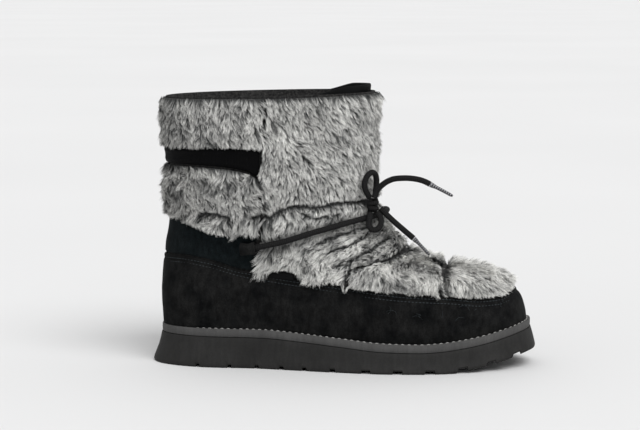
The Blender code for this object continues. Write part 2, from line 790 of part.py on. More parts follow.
LOWER_END = (
    (0.185, 0.027, -0.075),
    (0.425, 0.034, -0.315),
    (0.712, 0.048, -0.568),
    (1.000, 0.068, -0.812),
)
LOWER_TIP = (
    (1.014, 0.068, -0.826),
    (1.209, 0.089, -1.024),
    (1.390, 0.110, -1.223),
)
TIP_SHARES = (0.905, 0.643, 0.571, 0.476)
KNOT_SHARES = (0.35, 0.74, 0.93, 1.00, 0.85, 1.00, 0.93, 0.74, 0.35)


def make_lace():
    tube("lace_wrap", lace_path(), LACE / 2, CORD)
    knot = knot_centre()
    places = knot + np.outer(np.linspace(-1, 1, 9), (0.4, -0.8, KNOT_HALF))
    tube("lace_knot", places, np.array(KNOT_SHARES) * KNOT_ROUND, CORD, 8)
    for name, way, reach, count in (
        ("lace_loop_up", UP_LOOP, LOOP_UP, 20),
        ("lace_loop_down", DOWN_LOOP, LOOP_DOWN, 17),
        ("lace_end_upper", UPPER_END, UPPER_REACH, 13),
        ("lace_end_lower", LOWER_END, LOWER_REACH, 9),
    ):
        tube(name, swept(knot + np.array(way) * reach, count), LACE / 2, CORD)
    for name, way, reach in (
        ("aglet_upper", UPPER_TIP, UPPER_REACH),
        ("aglet_lower", LOWER_TIP, LOWER_REACH),
    ):
        line = swept(knot + np.array(way) * reach, 4)
        tube(name, line, np.array(TIP_SHARES) * LACE / 2, TIP_METAL, 8, 0.3, 0.9)


def seat_in_frame():
    """Centre the boot on the origin, by the box of everything but the loose lace."""
    loose = ("lace_knot", "lace_loop", "lace_end", "aglet")
    solid = [o for o in bpy.data.objects if not o.name.startswith(loose)]
    places = np.array([v.co for o in solid for v in o.data.vertices])
    low, high = places.min(0), places.max(0)
    move = np.array(((low[0] + high[0]) / 2, (low[1] + high[1]) / 2, low[2]))
    for o in bpy.data.objects:
        for v in o.data.vertices:
            v.co = np.array(v.co) - move
        o.data.update()


for old in list(bpy.data.objects):
    bpy.data.objects.remove(old)
make_outsole()
make_welt()
make_insole()
make_upper()
make_mudguard()
make_heel_counter()
make_toe_fur()
make_vamp_fur()
make_instep_fur()
make_shaft_fur()
make_cuff_fur()
make_collar_fur()
make_elastic()
make_tongue()
make_label()
make_tab("lace_tab_outer", OUTER)
make_tab("lace_tab_inner", INNER)
make_lace()
seat_in_frame()
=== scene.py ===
"""Looks of the fur mukluk boot, right foot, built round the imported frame.

Lengths are in millimetres in the part's own frame, and metres() turns them into the row's metres.
"""

import bpy
import numpy as np
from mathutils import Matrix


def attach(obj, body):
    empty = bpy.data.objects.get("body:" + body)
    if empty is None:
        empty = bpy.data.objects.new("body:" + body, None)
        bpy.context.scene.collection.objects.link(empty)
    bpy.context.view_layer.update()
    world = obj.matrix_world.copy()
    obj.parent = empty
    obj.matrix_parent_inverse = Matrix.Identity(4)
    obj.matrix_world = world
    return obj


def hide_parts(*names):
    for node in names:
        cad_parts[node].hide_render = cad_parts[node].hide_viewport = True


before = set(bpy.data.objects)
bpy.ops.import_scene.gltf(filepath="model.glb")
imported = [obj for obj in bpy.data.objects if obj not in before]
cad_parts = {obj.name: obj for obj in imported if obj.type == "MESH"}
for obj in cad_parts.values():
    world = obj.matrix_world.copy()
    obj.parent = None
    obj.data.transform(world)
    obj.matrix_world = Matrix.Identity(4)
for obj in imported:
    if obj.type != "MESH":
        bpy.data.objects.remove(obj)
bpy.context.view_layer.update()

OUTER, MIDDLE, INNER = -1, 0, 1

# Main sizes
SOLE_LENGTH = 281.0
BALL_HALF = 45.5
SHAFT_TALL = 199.0
HEEL_TALL = 27.8
TOE_SPRING = 12.6
HALF_SOLE = SOLE_LENGTH / 2
COLLAR_DROP = 4.0

WALL = 2.4
GAP = 0.35
SUEDE_THICK = 1.4
MUDGUARD_SEAT, COUNTER_SEAT = 0.9, 0.5


def in_sizes(columns, rows, sizes):
    """A table's columns by name, each times the size that it is a share of."""
    return dict(zip(columns.split(), (np.array(rows, float) * sizes).T))


# Foot and shaft form, outside of the shell, by height
SHELL_ROWS = (
    (0.101, -0.929, 0.922, 0.945, 0.128, 2.50, 2.7),
    (0.171, -0.936, 0.934, 1.000, 0.128, 2.50, 2.7),
    (0.231, -0.942, 0.920, 1.022, 0.114, 2.40, 2.7),
    (0.271, -0.942, 0.886, 1.011, 0.093, 2.25, 2.7),
    (0.302, -0.940, 0.833, 0.989, 0.057, 2.10, 2.6),
    (0.327, -0.937, 0.751, 0.967, 0.014, 1.95, 2.6),
    (0.347, -0.934, 0.626, 0.945, -0.036, 1.85, 2.5),
    (0.362, -0.932, 0.520, 0.930, -0.071, 1.80, 2.5),
    (0.392, -0.927, 0.406, 0.912, -0.128, 1.80, 2.5),
    (0.442, -0.918, 0.292, 0.901, -0.214, 1.90, 2.4),
    (0.503, -0.906, 0.210, 0.901, -0.299, 2.00, 2.3),
    (0.578, -0.899, 0.167, 0.912, -0.363, 2.10, 2.2),
    (0.678, -0.905, 0.146, 0.945, -0.384, 2.15, 2.2),
    (0.804, -0.922, 0.146, 0.989, -0.388, 2.15, 2.2),
    (1.055, -0.932, 0.171, 1.033, -0.384, 2.15, 2.2),
)
SHELL = in_sizes(
    "height back front half_width widest_at nose_power heel_power",
    SHELL_ROWS,
    (SHAFT_TALL, HALF_SOLE, HALF_SOLE, BALL_HALF, HALF_SOLE, 1, 1),
)

# Left and right curve of the foot, fading out up the ankle
PLAN_ROWS = (
    (-0.940, 0.000, 1.00, 1.00), (-0.712, 0.000, 0.93, 0.93), (-0.427, 0.000, 0.79, 0.77),
    (-0.214, 0.011, 0.86, 0.76), (0.000, 0.011, 0.95, 0.83), (0.249, 0.000, 1.01, 0.95),
    (0.427, 0.011, 1.01, 1.03), (0.641, 0.066, 0.98, 1.04), (0.940, 0.154, 0.95, 1.00),
)
PLAN = in_sizes("along shift outer_share inner_share", PLAN_ROWS, (HALF_SOLE, BALL_HALF, 1, 1))
PLAN_FULL_BELOW, PLAN_GONE_ABOVE = 0.302 * SHAFT_TALL, 0.563 * SHAFT_TALL

# Sole
SOLE_ROWS = (
    (-1.004, 1.000, 0.000), (-0.890, 1.000, 0.000), (-0.391, 0.993, 0.000), (-0.178, 0.935, 0.000),
    (0.000, 0.860, 0.000), (0.249, 0.755, 0.000), (0.427, 0.737, 0.000), (0.541, 0.766, 0.000),
    (0.641, 0.827, 0.119), (0.747, 0.921, 0.317), (0.868, 1.076, 0.635), (0.975, 1.216, 0.968),
    (1.004, 1.241, 1.000),
)
SOLE = in_sizes("along welt_top ground", SOLE_ROWS, (HALF_SOLE, HEEL_TALL, TOE_SPRING))
SOLE_CENTRE = 0.128 * HALF_SOLE
SOLE_FLARE = 7.5
WELT_THICK, WELT_LEDGE = 5.6, 4.2
HEEL_INSET, TOE_INSET = 6.5, 3.9
GROOVE_WIDE, GROOVE_DEEP, GROOVE_DRAFT = 6.2, 2.2, 0.7
GROOVE_ROWS = (
    (-0.730, 0.452), (-0.562, 0.452), (-0.419, 0.452), (-0.288, 0.452), (-0.167, 0.452), (-0.019, 0.548),
    (0.155, 0.968), (0.318, 1.000), (0.481, 1.000), (0.645, 1.000), (0.787, 0.903), (0.914, 0.742),
)

GROOVES = in_sizes("along width", GROOVE_ROWS, (HALF_SOLE, GROOVE_WIDE))
GROOVES = tuple(zip(GROOVES["along"], GROOVES["width"]))

# Top edge of the suede mudguard
SEAM_ROWS = (
    (-0.940, 0.397), (-0.819, 0.402), (-0.662, 0.389), (-0.527, 0.361), (-0.320, 0.339), (-0.057, 0.317),
    (0.320, 0.286), (0.569, 0.273), (0.733, 0.260), (0.811, 0.261), (0.854, 0.268), (0.897, 0.283),
)
SEAM = in_sizes("along height", SEAM_ROWS, (HALF_SOLE, SHAFT_TALL))
SEAM_ROOM = 0.7

LACE = 4.2
LACE_MARKS = (
    (-0.459, 0.447), (-0.382, 0.458), (-0.260, 0.476), (-0.139, 0.500), (-0.020, 0.521), (0.061, 0.534),
    (0.138, 0.543),
)
LACE_LIFT = 7.3
KNOT_MARK, KNOT_LIFT, KNOT_HALF = (0.110, 0.588), 11.6, 5.0


def cubic(t, step, values, slopes):
    """A cubic over one step, from its two end values and slopes."""
    line = values[0] * (1 + 2 * t) * (1 - t) ** 2 + values[1] * t * t * (3 - 2 * t)
    return line + step * (slopes[0] * t * (1 - t) ** 2 - slopes[1] * t * t * (1 - t))


def smooth(at, places, values):
    """A monotone cubic through the table, held level beyond its ends."""
    at = np.clip(np.asarray(at, float), places[0], places[-1])
    step = np.diff(places)
    slope = np.diff(values) / step
    pair = slope[:-1] * slope[1:]
    total = slope[:-1] + slope[1:]
    middle = np.where(pair > 0, 2 * pair / np.where(pair > 0, total, 1), 0)
    tangent = np.concatenate(([slope[0]], middle, [slope[-1]]))
    k = np.clip(np.searchsorted(places, at, side="right") - 1, 0, len(step) - 1)
    t = (at - places[k]) / step[k]
    return cubic(t, step[k], (values[k], values[k + 1]), (tangent[k], tangent[k + 1]))


def shell(column, height):
    return smooth(height, SHELL["height"], SHELL[column])


def plan(column, along, height):
    full = smooth(along, PLAN["along"], PLAN[column])
    level = 0.0 if column == "shift" else 1.0
    t = np.clip((PLAN_GONE_ABOVE - height) / (PLAN_GONE_ABOVE - PLAN_FULL_BELOW), 0, 1)
    return level + (full - level) * t * t * (3 - 2 * t)


def side_share(along, height, side):
    return np.where(side < 0, plan("outer_share", along, height), plan("inner_share", along, height))


def end_share(along, height):
    """How far towards the front or back end this is from the widest place, and the outline's power there."""
    widest = shell("widest_at", height)
    ahead = along > widest
    reach = np.where(ahead, shell("front", height) - widest, widest - shell("back", height))
    power = np.where(ahead, shell("nose_power", height), shell("heel_power", height))
    return np.abs(along - widest) / reach, power


def gauge(points):
    """Below 0 inside the shell, above 0 outside it."""
    along, across, height = points[..., 0], points[..., 1], points[..., 2]
    share, power = end_share(along, height)
    off = across - plan("shift", along, height)
    width = shell("half_width", height) * side_share(along, height, off)
    total = share**power + (np.abs(off) / width) ** power
    return total ** (1 / power) - 1


def slope_of(points, step=0.4):
    out = np.empty_like(points)
    for axis in range(3):
        move = np.zeros(3)
        move[axis] = step
        out[..., axis] = (gauge(points + move) - gauge(points - move)) / (2 * step)
    return out


def unit(ways):
    return ways / np.linalg.norm(ways, axis=-1, keepdims=True)


def square_to(ways, axis):
    """The part of each way that is square to its axis, one long."""
    return unit(ways - axis * (ways * axis).sum(-1, keepdims=True))


def onto_shell(points, steps=12):
    for _ in range(steps):
        rise = slope_of(points)
        points = points - rise * (gauge(points) / (rise**2).sum(-1))[..., None]
    return points


def outward(points):
    return unit(slope_of(points))


def lifted(points, amount):
    amount = np.asarray(amount, float)
    return points + outward(points) * (amount[..., None] if amount.ndim else amount)


def side_point(along, height, side):
    """A point of the shell on the outer or inner side."""
    share, power = end_share(along, height)
    left = np.clip(1 - share**power, 0, 1) ** (1 / power)
    width = shell("half_width", height) * side_share(along, height, side)
    across = plan("shift", along, height) + side * width * left
    return np.stack(np.broadcast_arrays(along, across, height), -1)


def loop_round(height_at, back_end, front_end, pairs):
    """A closed loop on the shell, from the heel along the outer side and back."""
    turn = np.linspace(np.pi, 0, pairs + 1)
    along = (back_end + front_end) / 2 + (front_end - back_end) / 2 * np.cos(turn)
    height = height_at(along)
    going = side_point(along, height, OUTER)
    coming = side_point(along, height, INNER)[1:-1][::-1]
    return np.concatenate((going, coming))


def loop_on_line(height_at, pairs):
    front_end, back_end = 0.85 * HALF_SOLE, -0.92 * HALF_SOLE
    for _ in range(40):
        front_end += 0.5 * (shell("front", height_at(front_end)) - front_end)
        back_end += 0.5 * (shell("back", height_at(back_end)) - back_end)
    return loop_round(height_at, back_end, front_end, pairs)


def welt_line(along):
    return smooth(along, SOLE["along"], SOLE["welt_top"])


def seam_line(along):
    return smooth(along, SEAM["along"], SEAM["height"])


def run_along(line):
    return np.concatenate(([0], np.cumsum(np.linalg.norm(np.diff(line, axis=0), axis=1))))


def sampled(at, run, line):
    """The line's points at these lengths along it."""
    return np.stack([np.interp(at, run, line[:, axis]) for axis in range(3)], -1)


def even_points(line, count):
    run = run_along(line)
    return sampled(np.linspace(0, run[-1], count), run, line)


def smoothed(marks, count):
    """Evenly spaced points on a smooth line through the marks."""
    marks = np.asarray(marks, float)
    run = run_along(marks)
    fine = np.linspace(0, run[-1], 400)
    return even_points(np.stack([smooth(fine, run, marks[:, axis]) for axis in range(3)], -1), count)


def swept(marks, count):
    """Evenly spaced points on a round bend through the marks, for free cords."""
    marks = np.asarray(marks, float)
    run = run_along(marks)
    step = np.diff(run)[:, None]
    slope = np.diff(marks, axis=0) / step
    middle = (slope[:-1] * step[1:] + slope[1:] * step[:-1]) / (step[:-1] + step[1:])
    tangent = np.concatenate((2 * slope[:1] - middle[:1], middle, 2 * slope[-1:] - middle[-1:]))
    fine = np.linspace(0, run[-1], 1200)
    k = np.clip(np.searchsorted(run, fine, side="right") - 1, 0, len(step) - 1)
    t = (fine[:, None] - run[k, None]) / step[k]
    line = cubic(t, step[k], (marks[k], marks[k + 1]), (tangent[k], tangent[k + 1]))
    return even_points(line, count)


# Patches laid on the shell
def mark_point(along, height, side):
    """A mark of the shell, given as shares of the half sole and of the shaft's height."""
    height = height * SHAFT_TALL
    if side == MIDDLE:
        reach = shell("front" if along > 0 else "back", height)
        return np.array((reach, plan("shift", reach, height), height), float)
    return side_point(along * HALF_SOLE, height, side)


def seam_mark(along, room=SEAM_ROOM):
    """A mark just above the mudguard's top edge."""
    return along, float(seam_line(along * HALF_SOLE) + room) / SHAFT_TALL


def moved(marks, along=0.0, height=0.0):
    return [(x + along / HALF_SOLE, z + height / SHAFT_TALL) for x, z in marks]


def on_side(marks, side):
    return [(x, z, side) for x, z in marks]


def edge(marks, count):
    line = smoothed([mark_point(*mark) for mark in marks], count)
    return onto_shell(line)


def both_sides(marks, middle):
    """Marks of the outer side, the middle mark, then the same marks on the inner side."""
    return on_side(marks, OUTER) + [(*middle, MIDDLE)] + on_side(marks, INNER)[::-1]


def patch(start, end, rows, columns, rim=None):
    """Grid points on the shell between a start and an end line of marks, with rim marks on both sides."""
    start, end = edge(start, columns), edge(end, columns)
    shares = np.linspace(0, 1, rows)

    def side_line(side, a, b):
        if rim is None:
            return a + (b - a) * shares[:, None]
        return sampled(shares, np.linspace(0, 1, 101), edge(on_side(rim, side), 101))

    one, two = side_line(OUTER, start[0], end[0]), side_line(INNER, start[-1], end[-1])
    a = shares[:, None, None]
    b = np.linspace(0, 1, columns)[None, :, None]
    corners = (1 - a) * ((1 - b) * start[0] + b * start[-1]) + a * ((1 - b) * end[0] + b * end[-1])
    grid = (1 - a) * start[None] + a * end[None] + (1 - b) * one[:, None] + b * two[:, None] - corners
    return onto_shell(grid)


def lace_line(along):
    marks = in_sizes("along height", LACE_MARKS, (HALF_SOLE, SHAFT_TALL))
    return smooth(along, marks["along"], marks["height"])


# Sole
def even_stations(count):
    """Places along the sole, 0 at the heel and 1 at the toe, closer at both ends."""
    return (1 - np.cos(np.linspace(0, np.pi, count))) / 2


def sole_stations(count):
    """The same with places at both edges of each groove."""
    cuts = []
    for centre, width in GROOVES:
        half = width / 2
        cuts += [centre - half - GROOVE_DRAFT, centre - half, centre + half, centre + half + GROOVE_DRAFT]
    cuts = np.array(cuts) / SOLE_LENGTH + 0.5
    kept = [x for x in even_stations(count) if np.min(np.abs(cuts - x)) > 0.008]
    return np.sort(np.concatenate((kept, cuts)))


def in_groove(along):
    return any(abs(along - centre) < width / 2 + 0.01 for centre, width in GROOVES)


def sole_loop(stations, heel_in, toe_in, grow, height_at):
    """A loop of the sole's outline at the stations, its ends this far in from the sole's."""
    back_end, front_end = heel_in - HALF_SOLE, HALF_SOLE - toe_in
    along = back_end + stations * (front_end - back_end)
    ahead = along > SOLE_CENTRE
    reach = np.where(ahead, front_end - SOLE_CENTRE, SOLE_CENTRE - back_end)
    power = np.where(ahead, 2.5, 2.7)
    left = np.clip(1 - (np.abs(along - SOLE_CENTRE) / reach) ** power, 0, 1) ** (1 / power)
    height = height_at(along)
    sides = []
    for side in (OUTER, INNER):
        width = BALL_HALF * side_share(along, HEEL_TALL, side) + grow
        across = plan("shift", along, HEEL_TALL) + side * width * left
        sides.append(np.stack((along, across, height), -1))
    return np.concatenate((sides[0], sides[1][1:-1][::-1]))


# Loops of the upper: height at the back and at the front, and how much of each follows the sole
LEVELS = (
    (0.166, 0.142, 1.00), (0.196, 0.186, 0.85), (0.231, 0.236, 0.60), (0.264, 0.286, 0.35),
    (0.291, 0.332, 0.15), (0.314, 0.367, 0.00), (0.334, 0.399, 0.00), (0.351, 0.432, 0.00),
    (0.369, 0.467, 0.00), (0.402, 0.508, 0.00), (0.452, 0.553, 0.00), (0.518, 0.603, 0.00),
    (0.603, 0.663, 0.00), (0.729, 0.754, 0.00), (0.869, 0.869, 0.00), (1.000, 1.000, 0.00),
)


def level_loop(front_share, back_share, sole_share, pairs):
    """A loop of the shell from a height at the back to one at the front, some of it along the sole."""
    front_height = front_share * SHAFT_TALL
    back_height = back_share * (SHAFT_TALL - COLLAR_DROP * back_share)
    front_end, back_end = shell("front", front_height), shell("back", back_height)

    def height_at(along):
        t = (along - back_end) / (front_end - back_end)
        chord = welt_line(back_end) + (welt_line(front_end) - welt_line(back_end)) * t
        sag = welt_line(along) - chord
        return back_height + (front_height - back_height) * t + sag * sole_share

    return loop_round(height_at, back_end, front_end, pairs)


# Top edge of the heel counter
HEEL_EDGE = ((-0.420, 0.501), (-0.555, 0.486), (-0.640, 0.493), (-0.720, 0.513), (-0.790, 0.529))
HEEL_EDGE_BACK = (-0.904, 0.541)


# Fur, each piece from its root line to the line that its locks fall to
TOE_CREASE = ((0.523, 0.278), (0.537, 0.322), (0.544, 0.347))
INSTEP_FOLD = ((0.060, 0.309), (0.075, 0.359), (0.171, 0.377), (0.278, 0.397))
INSTEP_REAR = (
    (-0.406, 0.368), (-0.391, 0.422), (-0.386, 0.492), (-0.374, 0.548), (-0.313, 0.579), (-0.157, 0.599),
    (0.036, 0.604),
)
INSTEP_FOOT = ((0.039, 0.313), (-0.057, 0.323), (-0.157, 0.337), (-0.235, 0.361), (-0.406, 0.368))
ANKLE_CREASE = ((-0.367, 0.565), (-0.306, 0.594), (-0.157, 0.615), (0.036, 0.620))
SHAFT_TOP = ((-0.356, 0.981), (-0.178, 0.985), (0.036, 0.991))
SHAFT_SIDE = ((-0.356, 0.981), (-0.370, 0.804), (-0.388, 0.693), (-0.367, 0.565))
CUFF_TOP = ((-0.403, 0.690), (-0.461, 0.713), (-0.570, 0.726), (-0.705, 0.731), (-0.826, 0.731))
CUFF_TOP_BACK = (-0.911, 0.731)
CUFF_SIDE = ((-0.403, 0.690), (-0.395, 0.568), (-0.420, 0.509))
TRIM_FOOT = ((-0.385, 0.812), (-0.534, 0.812), (-0.769, 0.808))
TRIM_TOP = ((-0.370, 0.981), (-0.534, 0.980), (-0.769, 0.976))


def lace_path():
    outer = [mark_point(x, z, OUTER) for x, z in LACE_MARKS]
    inner = [mark_point(x, z, INNER) for x, z in LACE_MARKS][::-1]
    line = smoothed(outer + [mark_point(0.178, 0.548, MIDDLE)] + inner, 40)
    return lifted(onto_shell(line), LACE_LIFT)


def knot_centre():
    base = onto_shell(mark_point(*KNOT_MARK, OUTER)[None])
    return lifted(base, KNOT_LIFT)[0]


# Ways of the free cords from the knot's centre, as shares of each one's reach: ahead, across, up
LOOP_UP, LOOP_DOWN, UPPER_REACH, LOWER_REACH = 23.6, 17.0, 41.5, 29.2
UP_LOOP = (
    (-0.104, 0.008, 0.246), (-0.170, -0.059, 0.364), (-0.233, -0.127, 0.538), (-0.233, -0.148, 0.733),
    (-0.148, -0.097, 0.919), (-0.025, 0.025, 1.000), (0.059, 0.148, 0.928), (0.085, 0.220, 0.771),
    (0.081, 0.225, 0.585), (0.064, 0.186, 0.407), (0.059, 0.144, 0.233),
)
DOWN_LOOP = (
    (-0.105, -0.136, -0.346), (-0.123, -0.315, -0.586), (-0.117, -0.420, -0.846), (0.049, -0.438, -0.994),
    (0.278, -0.389, -0.926), (0.377, -0.272, -0.698), (0.333, -0.173, -0.494), (0.216, -0.111, -0.346),
)
UPPER_END = (
    (0.029, -0.053, 0.133), (0.072, -0.043, 0.251), (0.178, -0.053, 0.369), (0.340, -0.082, 0.460),
    (0.523, -0.120, 0.488), (0.696, -0.159, 0.487), (0.865, -0.188, 0.457), (1.000, -0.207, 0.398),
)
UPPER_TIP = (
    (1.012, -0.210, 0.391), (1.205, -0.241, 0.301), (1.395, -0.277, 0.205),
)
LOWER_END = (
    (0.185, 0.027, -0.075), (0.425, 0.034, -0.315), (0.712, 0.048, -0.568), (1.000, 0.068, -0.812),
)
LOWER_TIP = (
    (1.014, 0.068, -0.826), (1.209, 0.089, -1.024), (1.390, 0.110, -1.223),
)


# Meshes
SEAT = np.array((0.0, 0.14, 0.0))


def metres(points):
    return (np.asarray(points, float) - SEAT) / 1000


def grid_faces(rows, columns, start, closed):
    """Quads of a grid of points, and each corner's row and column for its texture place."""
    last = columns if closed else columns - 1
    r, c = (part.ravel() for part in np.mgrid[0 : rows - 1, 0:last])
    row = np.stack((r, r, r + 1, r + 1), -1)
    column = np.stack((c, c + 1, c + 1, c), -1)
    return start + row * columns + column % columns, row, column


def run_of(line, closed):
    """Length along a line of points, with the way back to its start where it is closed."""
    return run_along(np.concatenate((line, line[:1])) if closed else line)


def grid_tiles(grid, row, column, closed):
    across = run_of(grid[len(grid) // 2], closed)
    down = run_of(grid[:, grid.shape[1] // 3], False)
    return np.stack((across[column], down[row]), -1) / 1000


def placed(name, data):
    made = bpy.data.objects.new(name, data)
    bpy.context.scene.collection.objects.link(made)
    return made


def object_of(name, points, faces, tiles=None, sharp=55):
    """An object from points in millimetres. Its faces look outwards, and tiles are UV places of corners."""
    mesh = bpy.data.meshes.new(name)
    mesh.from_pydata(metres(points).tolist(), [], [list(map(int, face)) for face in faces])
    if tiles is not None:
        places = mesh.uv_layers.new(name="tiles")
        places.data.foreach_set("uv", np.asarray(tiles, np.float32).reshape(-1, 2).ravel())
    mesh.shade_smooth()
    mesh.set_sharp_from_angle(angle=np.radians(sharp))
    return placed(name, mesh)


def dressed(made, paint, slot, *nodes):
    """Gives a piece its material, and lets it ride on the boot and stand for these nodes. The slot is not
    used.
    """
    made.data.materials.append(paint)
    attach(made, "root")
    if nodes:
        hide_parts(*nodes)
    return made


def sheet_solid(name, low, high, closed=False):
    """A solid between two grids, the high one outside."""
    rows, columns = low.shape[:2]
    count = rows * columns
    top, row, column = grid_faces(rows, columns, count, closed)
    under = (top - count)[:, ::-1]
    top_tiles = grid_tiles(high, row, column, closed)
    faces, tiles = [top, under], [top_tiles, top_tiles[:, ::-1]]
    span = columns if closed else columns - 1
    c = np.arange(span)
    d = (c + 1) % columns
    rims = [(c, d), ((rows - 1) * columns + d, (rows - 1) * columns + c)]
    if not closed:
        r = np.arange(rows - 1)
        rims.append(((r + 1) * columns, r * columns))
        rims.append((r * columns + columns - 1, (r + 1) * columns + columns - 1))
    for a, b in rims:
        faces.append(np.stack((a, b, b + count, a + count), -1))
        run = np.arange(len(a)) / 1000
        tiles.append(np.stack([np.stack((run, run * 0 + k), -1) for k in (0, 0, 0.001, 0.001)], 1))
    points = np.concatenate((low.reshape(-1, 3), high.reshape(-1, 3)))
    faces, tiles = np.concatenate(faces), np.concatenate(tiles)
    a, b, c, d = (points[faces[:, k]] for k in range(4))
    if (a * np.cross(b, c)).sum() + (a * np.cross(c, d)).sum() < 0:
        faces, tiles = faces[:, ::-1], tiles[:, ::-1]
    return object_of(name, points, faces, tiles)


def shell_sheet(name, grid, low, high):
    """A solid over the shell between two lifts."""
    return sheet_solid(name, lifted(grid, low), lifted(grid, high))


def tube_arrays(line, radius, sides):
    """Points, quads and tiles of a round tube along a line, closed at both ends by a small ring."""
    line = np.asarray(line, float)
    radius = np.broadcast_to(np.asarray(radius, float), len(line))
    ahead = unit(np.gradient(line, axis=0))
    across = np.cross(ahead[0], (0.13, 0.21, 1.0))
    turn = np.arange(sides) * 2 * np.pi / sides
    rings = []
    for k in range(len(line)):
        across = unit(across - ahead[k] * np.dot(across, ahead[k]))
        up = np.cross(ahead[k], across)
        rings.append(line[k] + radius[k] * (np.outer(np.cos(turn), across) + np.outer(np.sin(turn), up)))
    first = line[0] + (rings[0] - line[0]) * 0.02
    last = line[-1] + (rings[-1] - line[-1]) * 0.02
    grid = np.stack([first, *rings, last])
    faces, row, column = grid_faces(len(grid), sides, 0, True)
    along = run_of(np.concatenate((line[:1], line, line[-1:])), False)
    tiles = np.stack((column / sides, along[row] / (2 * np.pi * radius.max())), -1)
    return grid.reshape(-1, 3), faces[:, ::-1], tiles[:, ::-1]


def joined_arrays(parts):
    points, faces, tiles = [], [], []
    start = 0
    for part_points, part_faces, part_tiles in parts:
        points.append(part_points)
        faces.append(part_faces + start)
        tiles.append(part_tiles)
        start += len(part_points)
    return np.concatenate(points), np.concatenate(faces), np.concatenate(tiles)


# Materials
BANDS_A_SCALE = 3.2


class Paint:
    """A new material, with short ways to add the nodes that it needs."""

    def __init__(self, name, metallic=0.0, sheen=0.0, specular=0.5):
        self.material = bpy.data.materials.new(name)
        self.material.use_nodes = True
        self.tree = self.material.node_tree
        self.shader = self.tree.nodes["Principled BSDF"]
        self.shader.inputs["Metallic"].default_value = metallic
        self.shader.inputs["Sheen Weight"].default_value = sheen
        self.shader.inputs["Specular IOR Level"].default_value = specular
        self.places = self.tree.nodes.new("ShaderNodeTexCoord")

    def put(self, socket, value):
        if isinstance(value, bpy.types.NodeSocket):
            self.tree.links.new(value, socket)
        else:
            socket.default_value = value

    def stretched(self, scale):
        node = self.tree.nodes.new("ShaderNodeMapping")
        self.put(node.inputs["Vector"], self.places.outputs["Object"])
        node.inputs["Scale"].default_value = scale
        return node.outputs["Vector"]

    def noise(self, size, detail, rough, scale=(1, 1, 1)):
        """Soft noise whose features are about this many millimetres wide."""
        node = self.tree.nodes.new("ShaderNodeTexNoise")
        self.put(node.inputs["Vector"], self.stretched(scale))
        node.inputs["Scale"].default_value = 1000 / size
        node.inputs["Detail"].default_value = detail
        node.inputs["Roughness"].default_value = rough
        return node.outputs["Fac"]

    def wave(self, size, direction, per_unit=1000):
        """Bands about this wide, in thousandths of the tile places or in the unit given."""
        node = self.tree.nodes.new("ShaderNodeTexWave")
        node.bands_direction = direction
        self.put(node.inputs["Vector"], self.places.outputs["UV"])
        node.inputs["Scale"].default_value = per_unit / size / BANDS_A_SCALE
        return node.outputs["Fac"]

    def math(self, kind, a, b=0.5):
        node = self.tree.nodes.new("ShaderNodeMath")
        node.operation = kind
        self.put(node.inputs[0], a)
        self.put(node.inputs[1], b)
        return node.outputs["Value"]

    def ramp(self, share, *stops):
        """A colour or grey by share. Each stop is a place and a colour."""
        node = self.tree.nodes.new("ShaderNodeValToRGB")
        self.put(node.inputs["Fac"], share)
        ramp = node.color_ramp
        for k, (at, colour) in enumerate(stops):
            element = ramp.elements[k] if k < 2 else ramp.elements.new(at)
            element.position = at
            element.color = (*colour, 1) if isinstance(colour, tuple) else (colour, colour, colour, 1)
        return node.outputs["Color"]

    def mixed(self, share, a, b, kind="MIX"):
        node = self.tree.nodes.new("ShaderNodeMix")
        node.data_type = "RGBA"
        node.blend_type = kind
        self.put(node.inputs[0], share)
        self.put(node.inputs[6], a if not isinstance(a, tuple) else (*a, 1))
        self.put(node.inputs[7], b if not isinstance(b, tuple) else (*b, 1))
        return node.outputs[2]

    def between(self, share, low, high, dark, light):
        """Dark up to the low share, and light from the high one."""
        return self.mixed(self.ramp(share, (low, 0.0), (high, 1.0)), dark, light)

    def tinted(self, colour, share, *stops):
        """A colour times a grey by share."""
        return self.mixed(1.0, colour, self.ramp(share, *stops), "MULTIPLY")

    def bump(self, height, strength, deep, under=None):
        """Relief this many millimetres deep."""
        node = self.tree.nodes.new("ShaderNodeBump")
        node.inputs["Strength"].default_value = strength
        node.inputs["Distance"].default_value = deep / 1000
        self.put(node.inputs["Height"], height)
        if under is not None:
            self.put(node.inputs["Normal"], under)
        return node.outputs["Normal"]

    def shade(self, colour, roughness, normal):
        self.put(self.shader.inputs["Base Color"], colour)
        self.put(self.shader.inputs["Roughness"], roughness)
        self.put(self.shader.inputs["Normal"], normal)
        return self.material


def suede_paint(name, dark, light):
    """Napped suede: brushed patches, a fine grain and a soft sheen."""
    paint = Paint(name, sheen=0.02, specular=0.03)
    patches = paint.noise(14, 4.0, 0.6)
    brushed = paint.noise(3.2, 3.0, 0.6, scale=(1, 1, 0.45))
    grain = paint.noise(0.55, 2.0, 0.7)
    colour = paint.between(patches, 0.32, 0.72, dark, light)
    colour = paint.tinted(colour, brushed, (0.3, 0.6), (0.7, 1.35))
    colour = paint.tinted(colour, grain, (0.35, 0.6), (0.72, 1.5))
    normal = paint.bump(patches, 0.5, 1.2)
    normal = paint.bump(grain, 0.5, 0.25, normal)
    return paint.shade(colour, paint.ramp(brushed, (0.2, 0.82), (0.8, 0.97)), normal)


